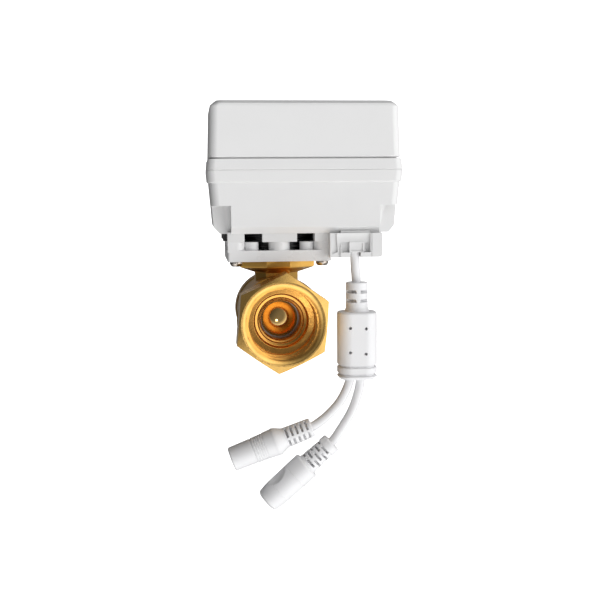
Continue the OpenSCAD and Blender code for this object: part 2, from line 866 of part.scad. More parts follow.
// The lobe faces the switch of the closed position
module switch_cam() {
    color("royalblue") difference() {
        hull() {
            translate([0, stem_y, cam_z[0]]) cylinder(r = cam_r, h = cam_z[1] - cam_z[0], $fn = 32);
            translate([-lobe_x, stem_y, cam_z[0]])
                cylinder(r = lobe_r, h = cam_z[1] - cam_z[0], $fn = 32);
        }
        post(0, stem_y, cam_z[0] - eps, cam_z[1] + eps, shaft_high_r + 0.02);
    }
}

// A wheel and a pinion moulded in one piece, with a hub on each side
module compound_gear(axis, wheel_z, wheel_module, wheel_teeth, wheel_phase,
                     pinion_z, pinion_module, pinion_teeth, pinion_phase, hub_z) {
    difference() {
        union() {
            gear(axis, wheel_z, wheel_module, wheel_teeth, wheel_phase);
            gear(axis, pinion_z, pinion_module, pinion_teeth, pinion_phase);
            post(axis[0], axis[1], hub_z[0], hub_z[1], 2.2);
        }
        post(axis[0], axis[1], hub_z[0] - eps, hub_z[1] + eps, axle_r + running_gap);
    }
}

module idler_gear_two() {
    color("ivory") compound_gear(
        axis_two, layer_two_z, module_middle, middle_wheel_teeth, angle_to_one,
        [37.2, layer_two_z[0] + eps], module_last, last_pinion_teeth,
        angle_to_two + 180 + 180 / last_pinion_teeth, [37.2, 49.8]);
}

module idler_gear_one() {
    color("ivory") compound_gear(
        axis_one, layer_three_z, module_first, first_wheel_teeth, angle_to_motor,
        [layer_two_z[0], layer_three_z[0] + eps], module_middle, middle_pinion_teeth,
        angle_to_one + 180 + 180 / middle_pinion_teeth, [37.2, 49.8]);
}

module axle_two() {
    color("silver") post(axis_two[0], axis_two[1], lower_plate_z, upper_plate_z + plate_t, axle_r);
}

module axle_one() {
    color("silver") post(axis_one[0], axis_one[1], lower_plate_z, upper_plate_z + plate_t, axle_r);
}

// ------------------------------------------------------ plates and motor

// Outline that both gear plates share
module plate_outline() {
    difference() {
        translate([plate_x[0], plate_y[0]])
            square([plate_x[1] - plate_x[0], plate_y[1] - plate_y[0]]);
        for (sx = [-1, 1], sy = [-1, 1])
            translate(house_corner(sx, sy))
                square(2 * [pocket_in_x + pocket_wall + 0.4, pocket_in_y + pocket_wall + 0.4],
                       center = true);
        for (p = spacers) translate(p) circle(r = 1.3);
        for (axis = [axis_one, axis_two]) translate(axis) circle(r = axle_r);
        translate(wire_pass) circle(r = 3);
    }
}

module lower_plate() {
    color("lightsteelblue") translate([0, 0, lower_plate_z]) linear_extrude(plate_t) difference() {
        plate_outline();
        translate(output_axis) circle(r = 9);
    }
}

module upper_plate() {
    color("lightsteelblue") translate([0, 0, upper_plate_z]) linear_extrude(plate_t) difference() {
        plate_outline();
        translate(output_axis) circle(r = shaft_high_r + running_gap);
        translate(motor_axis) circle(r = 3.1);
        for (a = motor_screw_angles)
            translate(motor_axis + polar(motor_screw_circle, a)) circle(r = 1.1);
    }
}

module plate_spacers() {
    color("silver") for (p = spacers)
        ring(p[0], p[1], lower_plate_z + plate_t, upper_plate_z, spacer_r, 1.3);
}

module plate_screws() {
    top = upper_plate_z + plate_t;
    color("silver") for (p = spacers) translate([p[0], p[1], 0]) difference() {
        union() {
            post(0, 0, 33.2, top + eps, 1.25);
            post(0, 0, top, top + 1.6, 2.2);
        }
        for (turn = [0, 90]) rotate(turn) translate([-1.2, -0.28, top + 0.8]) cube([2.4, 0.56, 1]);
    }
}

module motor_can() {
    x = motor_axis[0];
    y = motor_axis[1];
    base = upper_plate_z + plate_t;
    color("silver") difference() {
        union() {
            post(x, y, base, motor_top_z, motor_r);
            post(x, y, upper_plate_z, base + eps, 3);
        }
        ring(x, y, base + 6.5, base + 7.3, motor_r + 1, motor_r - 0.4);
        post(x, y, upper_plate_z - eps, base + 2.9, axle_r + running_gap);
        for (a = motor_screw_angles)
            translate(concat(motor_axis + polar(motor_screw_circle, a), base - eps))
                cylinder(r = 1, h = 3.2);
    }
}

module motor_end_cap() {
    color("black") post(motor_axis[0], motor_axis[1], motor_top_z, motor_top_z + 2.4, motor_r - 0.8);
}

module motor_terminals() {
    color("gold") for (side = [-1, 1])
        translate([motor_axis[0] - 1.2, motor_axis[1] + side * terminal_half - 0.25, motor_top_z + 2.4])
            cube([2.4, 0.5, 1.8]);
}

module motor_screws() {
    color("silver") for (a = motor_screw_angles)
        translate(concat(motor_axis + polar(motor_screw_circle, a), 0)) difference() {
            union() {
                post(0, 0, upper_plate_z - 1.2, upper_plate_z, 1.9);
                post(0, 0, upper_plate_z - eps, upper_plate_z + plate_t + 3, 1);
            }
            translate([-1.2, -0.25, upper_plate_z - 1.3]) cube([2.4, 0.5, 0.7]);
        }
}

module motor_shaft() {
    color("silver") post(motor_axis[0], motor_axis[1], 44.6, 53.8, axle_r);
}

module motor_pinion() {
    color("goldenrod") difference() {
        gear(motor_axis, [44.6, 48], module_first, motor_pinion_teeth,
             angle_to_motor + 180 + 180 / motor_pinion_teeth);
        post(motor_axis[0], motor_axis[1], 44, 49, axle_r);
    }
}

// -------------------------------------------------------------- switches

// Limit switch, drawn with its plunger pointing along +X and its front face at x = 0
module limit_switch() {
    difference() {
        translate([-switch_size[0], -switch_size[1] / 2, 0]) cube(switch_size);
        translate([-4.6, 0, switch_size[2] / 2]) rotate([0, 90, 0]) cylinder(r = plunger_r + 0.1, h = 5);
        for (side = [-1, 1])
            translate([-switch_size[0] / 2, side * 4.6, -eps]) cylinder(r = 1, h = 7);
    }
    for (side = [-1, 0, 1])
        translate([-switch_size[0] / 2 - 0.8, side * 3.2 - 0.25, switch_size[2]]) cube([1.6, 0.5, 2.2]);
}

module limit_plunger() {
    translate([-2.4, 0, switch_size[2] / 2]) rotate([0, 90, 0]) cylinder(r = plunger_r, h = 4);
}

// The closed switch looks along +X, the open switch along +Y
module at_switch(turn) {
    translate([0, stem_y, upper_plate_z + plate_t]) rotate(turn)
        translate([-plunger_reach - 1.6, 0, 0]) children();
}

module switch_closed() {
    color("#303034") at_switch(0) limit_switch();
}

module switch_open() {
    color("#303034") at_switch(90) limit_switch();
}

module plunger_closed() {
    color("crimson") at_switch(0) limit_plunger();
}

module plunger_open() {
    color("crimson") at_switch(90) limit_plunger();
}

// ---------------------------------------------------------- electronics

module circuit_board() {
    color("darkgreen") translate([board_x[0], board_y[0], board_z]) difference() {
        cube([board_x[1] - board_x[0], board_y[1] - board_y[0], board_t]);
        for (p = board_posts)
            translate([p[0] - board_x[0], p[1] - board_y[0], -eps]) cylinder(r = 0.9, h = 3);
    }
}

module board_posts() {
    color("gainsboro") for (p = board_posts) {
        post(p[0], p[1], upper_plate_z + plate_t, board_z, 2);
        post(p[0], p[1], board_z - eps, board_z + board_t + 0.6, 0.85);
    }
}

module relay() {
    color("royalblue") translate([-8, 24, board_z + board_t]) cube([15, 7.5, 9]);
}

module capacitor() {
    color("#26262a") post(-9.5, 38.2, board_z + board_t, board_z + board_t + 9, 3.9);
}

module terminal_block() {
    color("seagreen") translate([3.4, 14.6, board_z + board_t]) difference() {
        cube([6.4, 6, 5.6]);
        for (wire = [0, 1]) translate([3, 2, 3] + wire * wire_step) cylinder(r = 0.8, h = 4);
    }
}

module motor_wires() {
    color("red") for (side = [-1, 1])
        tube(concat(
            [[motor_axis[0] - 1.5, motor_axis[1] + side * terminal_half, motor_top_z + 3.4]],
            [for (p = motor_wire_route) p + [0, side * 0.9, 0]]
        ), wire_r, cord_sides, [0.2, 1, 0.1]);
}

module supply_wires() {
    color("brown") for (wire = [0, 1])
        tube([for (p = supply_route) p + wire * wire_step], wire_r, cord_sides, [0.1, 1, 0.05]);
}

// ------------------------------------------------------ cable and leads

module cable_grommet() {
    plate_w = hood_recess_x[1] - hood_recess_x[0] - 0.2;
    recess_h = hood_recess_z[1] - hood_recess_z[0];
    color("gainsboro") difference() {
        union() {
            translate([grommet_x[0], grommet_front_y, hood_recess_z[0] + 0.1])
                cube([grommet_x[1] - grommet_x[0], grommet_plate_y[1] - grommet_front_y,
                      recess_h - 0.2]);
            translate([hood_recess_x[0] + 0.1, grommet_plate_y[0], hood_recess_z[0] + 0.1])
                cube([plate_w, grommet_plate_y[1] - grommet_plate_y[0], recess_h - 0.2]);
        }
        post(cable_route[2][0], cable_y, hood_z, 30, cable_r + 0.02);
    }
}

module power_cable() {
    color("white") cord(cable_route);
}

module lead_a() {
    color("white") cord(lead_a_route);
}

module lead_b() {
    color("white") cord(lead_b_route);
}

// Level of the splitter's block, standing in from its full size
function splitter_level(inset, z) =
    [splitter_w - 2 * inset, splitter_deep - 2 * inset, z, splitter_corner - inset];

// Moulded Y splitter: a ribbed neck above a rounded block
module splitter() {
    low = splitter_z[0];
    high = splitter_z[1];
    groove = 0.5;
    color("white") difference() {
        union() {
            levels([
                splitter_level(0.8, low), splitter_level(0, low + 0.8),
                splitter_level(0, low + 1.2), splitter_level(groove, low + 1.3),
                splitter_level(groove, low + 2), splitter_level(0, low + 2.1),
                splitter_level(0, low + 3.7), splitter_level(groove, low + 3.8),
                splitter_level(groove, low + 4.5), splitter_level(0, low + 4.6),
                splitter_level(0, high - 0.8), splitter_level(0.8, high)
            ], [splitter_x, cable_y]);
            post(splitter_x, cable_y, high - eps, neck_top_z, neck_r);
        }
        for (z = [6.3, 9.6], side = [-1, 1])
            translate([splitter_x + side * 3.2 - 1.9, cable_y - 5, z])
                cube([3.8, 10, 1.5]);
        post(27.5, cable_y, -6.2, neck_top_z + eps, cable_r + 0.02);
        for (x = [lead_a_route[0][0], lead_b_route[0][0]])
            post(x, cable_y, low - eps, -11.8, cable_r + 0.02);
    }
}

// Places a connector drawn from its tip along +Z
module at_connector(tip, angle) {
    translate([tip[0], cable_y, tip[1]]) rotate([0, 90 - angle, 0]) children();
}

// Straight in-line DC socket: barrel, collar and ribbed strain relief
module connector_a_shape() {
    collar_r = connector_d / 2;
    difference() {
        rotate_extrude() polygon([
            [0, 0], [4.1, 0], [4.5, 0.5], [4.7, 8.4], [4.85, 8.6], [collar_r - 0.1, 16.6],
            [collar_r, 17], [collar_r, 17.6], [collar_r - 1.2, 20], [3.7, 20.4],
            [3.4, 31.4], [0, 31.4]
        ]);
        translate([0, 0, -eps]) cylinder(r = sleeve_r, h = socket_depth + 1.6);
        translate([0, 0, 23.2]) cylinder(r = cable_r + 0.03, h = 9);
        for (z = [21.2:2:29.2]) ring(0, 0, z, z + 0.8, 5, 2.6);
    }
}

// Straight in-line DC socket with a rounder grip
module connector_b_shape() {
    grip_r = connector_d / 2;
    difference() {
        rotate_extrude() polygon([
            [0, 0], [4, 0], [4.6, 0.6], [4.9, 3], [grip_r, 12], [grip_r, 18],
            [grip_r - 0.5, 19.4], [3.6, 20], [3.3, 32], [0, 32]
        ]);
        translate([0, 0, -eps]) cylinder(r = sleeve_r, h = socket_depth + 1.6);
        translate([0, 0, 23.6]) cylinder(r = cable_r + 0.03, h = 9);
        for (z = [21:2.1:29.5]) ring(0, 0, z, z + 0.9, 5, 2.6);
    }
}

module connector_a() {
    color("white") at_connector(connector_a_tip, connector_a_angle) connector_a_shape();
}

module connector_b() {
    color("white") at_connector(connector_b_tip, connector_b_angle) connector_b_shape();
}

// Metal sleeve of a socket, closed at the inner end
module socket_sleeve() {
    difference() {
        translate([0, 0, 0.4]) cylinder(r = sleeve_r, h = socket_depth + 1);
        translate([0, 0, 0.3]) cylinder(r = sleeve_hole_r, h = socket_depth);
    }
}

// Centre contact on the closed end of the sleeve
module socket_pin() {
    translate([0, 0, 1.6]) cylinder(r = socket_pin_r, h = socket_depth - 1.3);
}

module socket_sleeve_a() {
    color("silver") at_connector(connector_a_tip, connector_a_angle) socket_sleeve();
}

module socket_sleeve_b() {
    color("silver") at_connector(connector_b_tip, connector_b_angle) socket_sleeve();
}

module socket_pin_a() {
    color("gold") at_connector(connector_a_tip, connector_a_angle) socket_pin();
}

module socket_pin_b() {
    color("gold") at_connector(connector_b_tip, connector_b_angle) socket_pin();
}

valve_body();
end_cap();
cap_seal();
ball();
seat_front();
seat_rear();
stem();
stem_washer();
stem_rings();
bracket();
flange_screws();
bracket_screws();
lock_ring();
base_shell();
top_cover();
cover_gasket();
cover_screws();
shaft_bush();
shaft_seal();
output_shaft();
output_gear();
switch_cam();
lower_plate();
upper_plate();
plate_spacers();
plate_screws();
idler_gear_two();
idler_gear_one();
axle_two();
axle_one();
motor_can();
motor_end_cap();
motor_terminals();
motor_screws();
motor_shaft();
motor_pinion();
switch_closed();
switch_open();
plunger_closed();
plunger_open();
circuit_board();
board_posts();
relay();
capacitor();
terminal_block();
motor_wires();
supply_wires();
cable_grommet();
power_cable();
splitter();
lead_a();
lead_b();
connector_a();
connector_b();
socket_sleeve_a();
socket_sleeve_b();
socket_pin_a();
socket_pin_b();
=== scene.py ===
"""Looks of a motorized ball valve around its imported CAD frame.

Shapes are worked out in millimetres in the part's frame (+Z up the stem, +Y along the pipe, away
from the near port, +X to the right) and are brought to metres when a piece is placed.
"""
import math

import bmesh
import bpy
from mathutils import Matrix, Vector


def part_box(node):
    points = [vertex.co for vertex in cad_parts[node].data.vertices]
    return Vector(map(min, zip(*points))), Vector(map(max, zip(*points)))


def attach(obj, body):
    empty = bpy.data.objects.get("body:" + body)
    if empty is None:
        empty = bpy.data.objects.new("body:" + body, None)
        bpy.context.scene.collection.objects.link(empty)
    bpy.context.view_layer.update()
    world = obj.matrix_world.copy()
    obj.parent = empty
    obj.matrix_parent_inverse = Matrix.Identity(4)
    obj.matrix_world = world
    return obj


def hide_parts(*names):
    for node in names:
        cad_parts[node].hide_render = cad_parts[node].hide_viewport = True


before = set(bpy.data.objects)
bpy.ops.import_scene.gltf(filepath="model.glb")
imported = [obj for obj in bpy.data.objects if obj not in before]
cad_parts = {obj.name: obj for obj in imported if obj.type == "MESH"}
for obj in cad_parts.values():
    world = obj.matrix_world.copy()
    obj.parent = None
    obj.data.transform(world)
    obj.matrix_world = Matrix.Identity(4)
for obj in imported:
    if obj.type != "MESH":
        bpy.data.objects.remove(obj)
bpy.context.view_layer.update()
MM = 0.001


def span(node):
    """Lowest and highest corner of a CAD node, in millimetres."""
    low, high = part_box(node)
    return low / MM, high / MM


# ---------- driving sizes, from the frame

COVER_LOW, COVER_HIGH = span("top_cover")
BASE_LOW = span("base_shell")[0]
BRACKET_LOW, BRACKET_HIGH = span("bracket")
RING_LOW, RING_HIGH = span("lock_ring")
CAP_LOW, CAP_HIGH = span("end_cap")
BODY_HIGH = span("valve_body")[1]
GROMMET_LOW, GROMMET_HIGH = span("cable_grommet")
SPLITTER_LOW, SPLITTER_HIGH = span("splitter")

HOUSE_W = COVER_HIGH.x - COVER_LOW.x
HOUSE_D = COVER_HIGH.y - COVER_LOW.y
HOUSE_MID = ((COVER_LOW.x + COVER_HIGH.x) / 2, (COVER_LOW.y + COVER_HIGH.y) / 2)
STEM = (0.0, (BRACKET_LOW.y + BRACKET_HIGH.y) / 2)
PARTING_Z = COVER_LOW.z
COVER_TOP_Z = COVER_HIGH.z
BASE_BOTTOM_Z = RING_HIGH.z
HOUSE_CORNER = 3.0
BRACKET_HALF = BRACKET_HIGH.x
BRACKET_FRONT_Y = STEM[1] - BRACKET_HALF
BRACKET_BOTTOM_Z = BRACKET_LOW.z
BRACKET_TOP_Z = BRACKET_HIGH.z
PORT_FACE_Y = CAP_LOW.y
CABLE_Y = (SPLITTER_LOW.y + SPLITTER_HIGH.y) / 2
CABLE_D = 3.4

# The cords' routes in the plane of the cable, as (x, z)
CABLE_ROUTE = [
    (26.8, 28), (26.8, 26), (26.8, 24), (26.9, 22), (27, 20), (27.1, 18), (27.3, 16),
    (27.4, 14), (27.5, 12), (27.5, 9), (27.5, 6), (27.5, 3), (27.5, 0), (27.5, -3), (27.5, -6),
]
LEAD_A_ROUTE = [
    (25.1, -12), (25.1, -16), (25.1, -19), (25.1, -21.6), (24.5, -23.9), (23.6, -26.2),
    (22.6, -28.2), (21.4, -30.2), (19.8, -32.2), (18, -34.1), (16, -35.9), (13.8, -37.6),
    (11.2, -39.2), (8.6, -40.2), (6, -41.2), (3.6, -42.1),
]
LEAD_B_ROUTE = [
    (28.9, -12), (28.9, -16), (28.9, -19), (28.9, -21.6), (28.7, -24), (28.3, -26.2),
    (27.8, -28), (27.2, -30), (26.4, -32.2), (25.3, -34.6), (23.9, -37), (22.4, -39.4),
    (20.8, -41.8), (19.6, -43.6), (18, -45.4), (16, -47.2), (14, -49), (12.2, -50.6),
]
HOOD_CABLE_X = CABLE_ROUTE[2][0]
SPLITTER_CABLE_X = CABLE_ROUTE[-1][0]

# Tips of the two connectors as (x, z), and how steeply each one rises from its tip, in degrees
CONNECTOR_A = ((-18.4, -50.4), 20.6)
CONNECTOR_B = ((-5.8, -66.5), 41.5)


# ---------- mesh helpers

def show(name, data):
    """A new object in the scene."""
    piece = bpy.data.objects.new(name, data)
    bpy.context.scene.collection.objects.link(piece)
    return piece


def make(name, points, faces):
    """A mesh object from points in millimetres, with its normals outwards."""
    mesh = bpy.data.meshes.new(name)
    mesh.from_pydata([tuple(p) for p in points], [], faces)
    mesh.validate()
    work = bmesh.new()
    work.from_mesh(mesh)
    bmesh.ops.remove_doubles(work, verts=work.verts, dist=1e-5)
    bmesh.ops.recalc_face_normals(work, faces=work.faces)
    work.to_mesh(mesh)
    work.free()
    return show(name, mesh)


def loft(name, rings, endless=False):
    """A solid through rings with the same number of points: capped, or back to its first ring."""
    count = len(rings[0])
    points = [p for ring in rings for p in ring]
    faces = []
    for i in range(len(rings) if endless else len(rings) - 1):
        here = i * count
        there = (i + 1) % len(rings) * count
        for k in range(count):
            after = (k + 1) % count
            faces.append((here + k, here + after, there + after, there + k))
    if not endless:
        faces.append(tuple(range(count)))
        faces.append(tuple((len(rings) - 1) * count + k for k in range(count)))
    return make(name, points, faces)


def arc(middle, radius, start, end, steps):
    """Points on a round stretch between two angles in degrees."""
    points = []
    for k in range(steps + 1):
        angle = math.radians(start + (end - start) * k / steps)
        points.append((middle[0] + radius * math.cos(angle), middle[1] + radius * math.sin(angle)))
    return points


def circle(radius, z, steps, middle=(0, 0)):
    """A level ring of points."""
    return [(middle[0] + radius * math.cos(2 * math.pi * k / steps),
             middle[1] + radius * math.sin(2 * math.pi * k / steps), z) for k in range(steps)]


def rounded_ring(middle, width, depth, z, radius, steps=8):
    """A rectangle with round corners at height z."""
    points = []
    for corner, (side_x, side_y) in enumerate(((1, 1), (-1, 1), (-1, -1), (1, -1))):
        centre = (middle[0] + side_x * (width / 2 - radius), middle[1] + side_y * (depth / 2 - radius))
        points += arc(centre, radius, 90 * corner, 90 * corner + 90, steps)
    return [(x, y, z) for x, y in points]


def fillet(stations, steps=4):
    """Rounds a path of (point, radius) stations; a point may have two or three coordinates."""
    points = [Vector(p) for p, _ in stations]
    out = [points[0]]
    for i in range(1, len(points) - 1):
        corner, radius = points[i], stations[i][1]
        back, ahead = points[i - 1] - corner, points[i + 1] - corner
        half = back.angle(ahead) / 2
        if radius == 0 or half > math.radians(89):
            out.append(corner)
            continue
        reach = min(radius / math.tan(half), 0.49 * back.length, 0.49 * ahead.length)
        start = corner + back.normalized() * reach
        end = corner + ahead.normalized() * reach
        for k in range(steps + 1):
            t = k / steps
            out.append(start.lerp(corner, t).lerp(corner.lerp(end, t), t))
    out.append(points[-1])
    return out


# A point on the axis becomes a ring this small, so that all rings have as many points
AXIS_R = 1e-4


def lathe(name, profile, steps=96, place=None):
    """A solid of revolution about Z from a profile of (radius, height), open ends closed."""
    piece = loft(name, [circle(max(radius, AXIS_R), height, steps) for radius, height in profile])
    if place is not None:
        piece.data.transform(place)
    return piece


def prism(name, outline, low, high, place=None):
    """A straight solid from an outline of (x, y) between two heights."""
    piece = loft(name, [[(x, y, low) for x, y in outline], [(x, y, high) for x, y in outline]])
    if place is not None:
        piece.data.transform(place)
    return piece


def block(name, low, high):
    """A box between two corners."""
    return prism(
        name, [(low[0], low[1]), (high[0], low[1]), (high[0], high[1]), (low[0], high[1])],
        low[2], high[2])


def cylinder(name, x, y, low, high, radius, steps=48):
    """An upright cylinder."""
    return lathe(name, [(radius, low), (radius, high)], steps, Matrix.Translation((x, y, 0)))


UPRIGHT = Matrix(((1, 0, 0, 0), (0, 0, -1, 0), (0, 1, 0, 0), (0, 0, 0, 1)))
ALONG_PIPE = Matrix.Rotation(math.radians(-90), 4, "X")


def front_prism(name, outline, near_y, far_y):
    """A solid from a front view of (x, z) between two distances along the pipe."""
    return prism(name, outline, -far_y, -near_y, UPRIGHT)


def turned(name, profile, steps=120):
    """A solid turned about the pipe axis from a profile of (radius, y)."""
    return lathe(name, profile, steps, ALONG_PIPE)


def baked(piece):
    """Applies the modifiers of a piece."""
    bpy.context.view_layer.update()
    shown = piece.evaluated_get(bpy.context.evaluated_depsgraph_get())
    mesh = bpy.data.meshes.new_from_object(shown)
    piece.modifiers.clear()
    piece.data = mesh
    return piece


def merged(name, pieces):
    """Several separate solids as one object."""
    work = bmesh.new()
    for piece in pieces:
        work.from_mesh(piece.data)
        bpy.data.objects.remove(piece)
    mesh = bpy.data.meshes.new(name)
    work.to_mesh(mesh)
    work.free()
    return show(name, mesh)


def combine(piece, tool, operation):
    """Boolean of a piece with a tool, which is used up."""
    modifier = piece.modifiers.new(operation, "BOOLEAN")
    modifier.operation = operation
    modifier.solver = "EXACT"
    modifier.object = tool
    baked(piece)
    bpy.data.objects.remove(tool)
    return piece


def cut(piece, *tools):
    """Takes tools out of a piece."""
    for tool in tools:
        combine(piece, tool, "DIFFERENCE")
    return piece


def add(piece, *tools):
    """Joins tools to a piece."""
    for tool in tools:
        combine(piece, tool, "UNION")
    return piece


def soften(piece, width, segments=2, angle=32):
    """Rounds the sharp edges of a piece by a width in millimetres."""
    modifier = piece.modifiers.new("soften", "BEVEL")
    modifier.width = width
    modifier.segments = segments
    modifier.limit_method = "ANGLE"
    modifier.angle_limit = math.radians(angle)
    modifier.use_clamp_overlap = True
    modifier.miter_outer = "MITER_ARC"
    return baked(piece)


def place(piece, slot, material, node, smooth=40):
    """Brings a finished piece of the still body to metres, in the place of a CAD node."""
    piece.data.transform(Matrix.Scale(MM, 4))
    piece.data.shade_smooth()
    piece.data.set_sharp_from_angle(angle=math.radians(smooth))
    piece.data.materials.clear()
    piece.data.materials.append(material)
    normals = piece.modifiers.new("normals", "WEIGHTED_NORMAL")
    normals.keep_sharp = True
    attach(piece, "fixed")
    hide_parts(node)
    return piece


def around_stem(turn):
    """Turns about the stem axis by an angle in degrees."""
    centre = Vector((STEM[0], STEM[1], 0))
    return (Matrix.Translation(centre) @ Matrix.Rotation(math.radians(turn), 4, "Z")
            @ Matrix.Translation(-centre))


SIDES = (-1, 1)
CORNERS = [(side_x, side_y) for side_x in SIDES for side_y in SIDES]


def at_stem(corner, x, y):
    """Point beside the stem, on the side that a corner gives."""
    return corner[0] * x, STEM[1] + corner[1] * y


# ---------- materials

class Surface:
    """A procedural material under construction."""

    def __init__(self, name):
        """Starts from a plain shader, in the object's own coordinates."""
        self.material = bpy.data.materials.new(name)
        self.material.use_nodes = True
        self.tree = self.material.node_tree
        self.shader = self.tree.nodes["Principled BSDF"]
        self.where = self.tree.nodes.new("ShaderNodeTexCoord").outputs["Object"]

    def node(self, kind, settings=None, **inputs):
        """Adds a node; an input is a number or another node's output."""
        made = self.tree.nodes.new(kind)
        for key, value in (settings or {}).items():
            setattr(made, key, value)
        for key, value in inputs.items():
            self.feed(made.inputs[key.replace("_", " ")], value)
        return made

    def feed(self, socket, value):
        """Gives a socket a number or another node's output."""
        if isinstance(value, bpy.types.NodeSocket):
            self.tree.links.new(value, socket)
        else:
            socket.default_value = value

    def join(self, output, socket):
        """Links an output to the shader."""
        self.tree.links.new(output, self.shader.inputs[socket])

    def noise(self, scale, detail=3.0, roughness=0.55, stretch=None):
        """Soft irregular pattern from 0 to 1."""
        vector = self.where
        if stretch is not None:
            vector = self.node("ShaderNodeMapping", Vector=vector, Scale=stretch).outputs[0]
        made = self.node("ShaderNodeTexNoise", Vector=vector, Scale=scale, Detail=detail,
                         Roughness=roughness)
        return made.outputs["Fac"]

    def ramp(self, factor, stops):
        """Colours along a factor."""
        made = self.node("ShaderNodeValToRGB", Fac=factor)
        elements = made.color_ramp.elements
        while len(elements) < len(stops):
            elements.new(0.5)
        for element, (position, colour) in zip(elements, stops):
            element.position = position
            element.color = (*colour, 1) if len(colour) == 3 else colour
        return made.outputs["Color"]

    def remap(self, factor, low, high):
        """Stretches a factor of 0 to 1 between two values."""
        made = self.node("ShaderNodeMapRange", Value=factor)
        made.inputs["To Min"].default_value = low
        made.inputs["To Max"].default_value = high
        return made.outputs["Result"]

    def math(self, operation, a, b=0.0):
        """Result of one sum."""
        made = self.node("ShaderNodeMath", {"operation": operation})
        self.feed(made.inputs[0], a)
        self.feed(made.inputs[1], b)
        return made.outputs[0]

    def bump(self, *layers):
        """Adds up bump layers of (height, depth in millimetres)."""
        normal = None
        for height, depth in layers:
            made = self.node("ShaderNodeBump", Height=height, Distance=depth * MM, Strength=1.0)
            if normal is not None:
                self.tree.links.new(normal, made.inputs["Normal"])
            normal = made.outputs[0]
        self.join(normal, "Normal")

    def set(self, **values):
        """Sets constant values on the shader."""
        for key, value in values.items():
            self.shader.inputs[key.replace("_", " ")].default_value = value


def shades(colour, spread):
    """A darker and a lighter version of a colour."""
    return (tuple(c * (1 - spread) for c in colour), tuple(min(1, c * (1 + spread)) for c in colour))


def plastic(name, colour, roughness=0.4, grain=0.012, grain_scale=2600, spread=0.02, gloss=0.5):
    """Moulded plastic: a fine spark-eroded grain, slow changes of tone and gloss."""
    s = Surface(name)
    dark, light = shades(colour, spread)
    s.join(s.ramp(s.noise(55, 4), [(0.3, dark), (0.7, light)]), "Base Color")
    s.join(s.remap(s.noise(140, 3), roughness - 0.06, roughness + 0.08), "Roughness")
    s.bump((s.noise(grain_scale, 4, 0.6), grain), (s.noise(38, 2), grain * 3))
    s.set(Specular_IOR_Level=gloss)
    return s.material


def brass(name, colour, roughness, grain, grain_scale, stain=0.35):
    """Cast brass skin, with darker stain in patches."""
    s = Surface(name)
    s.join(stained(s, colour, stain), "Base Color")
    s.join(s.remap(s.noise(420, 4, 0.6), roughness - 0.07, roughness + 0.12), "Roughness")
    s.bump((s.noise(grain_scale, 4, 0.62), grain), (s.noise(grain_scale / 6, 3), grain * 2.5))
    s.set(Metallic=1.0)
    return s.material


def stained(s, colour, stain):
    """Colour of a brass surface with stain in patches."""
    dark, light = shades(colour, 0.10)
    worst = tuple(c * (1 - stain) for c in colour)
    return s.ramp(s.noise(120, 5, 0.62), [(0.25, worst), (0.45, dark), (0.75, light)])


def turned_brass(name, colour, bore_shade_tint):
    """Brass turned on a lathe with fine rings: full colour outside, and darkened inside the bore as
    painted shade.
    """
    s = Surface(name)
    parts = s.node("ShaderNodeSeparateXYZ", Vector=s.where)
    radius = s.math("SQRT", s.math("ADD", s.math("POWER", parts.outputs["X"], 2.0),
                                   s.math("POWER", parts.outputs["Z"], 2.0)))
    # Painted shade: the colour is multiplied down inside the bore, under about 13 mm from the pipe axis
    inside = s.ramp(s.math("MULTIPLY", radius, 1 / (15 * MM)), [(0.86, bore_shade_tint), (0.91, (1, 1, 1))])
    mix = s.node("ShaderNodeMix", {"data_type": "RGBA", "blend_type": "MULTIPLY"})
    mix.inputs["Factor"].default_value = 1.0
    s.tree.links.new(stained(s, colour, 0.3), mix.inputs[6])
    s.tree.links.new(inside, mix.inputs[7])
    s.join(mix.outputs[2], "Base Color")
    s.join(s.remap(s.noise(420, 4, 0.6), 0.15, 0.34), "Roughness")
    rings = s.math("SINE", s.math("MULTIPLY", s.math("ADD", radius, parts.outputs["Y"]), 17000))
    s.bump((s.noise(1300, 4, 0.62), 0.03), (s.noise(220, 3), 0.06), (rings, 0.0012))
    s.set(Metallic=1.0)
    return s.material


def metal(name, colour, roughness=0.25, scratch=0.004, spread=0.08):
    """Plated or drawn steel: fine scratches and slightly uneven gloss."""
    s = Surface(name)
    dark, light = shades(colour, spread)
    s.join(s.ramp(s.noise(260, 4), [(0.3, dark), (0.75, light)]), "Base Color")
    s.join(s.remap(s.noise(700, 4, 0.7), max(0.03, roughness - 0.06), roughness + 0.1), "Roughness")
    s.bump((s.noise(1500, 5, 0.7, (1, 1, 6)), scratch))
    s.set(Metallic=1.0)
    return s.material


def circuit_board():
    """Green solder mask with faint tracks under it."""
    s = Surface("board_mask")
    tracks = s.node("ShaderNodeTexBrick", Vector=s.where, Scale=260.0).outputs["Fac"]
    s.join(s.ramp(tracks, [(0.0, (0.012, 0.13, 0.05)), (1.0, (0.03, 0.26, 0.09))]), "Base Color")
    s.join(s.remap(s.noise(500), 0.25, 0.4), "Roughness")
    s.bump((tracks, 0.02), (s.noise(3000), 0.004))
    return s.material


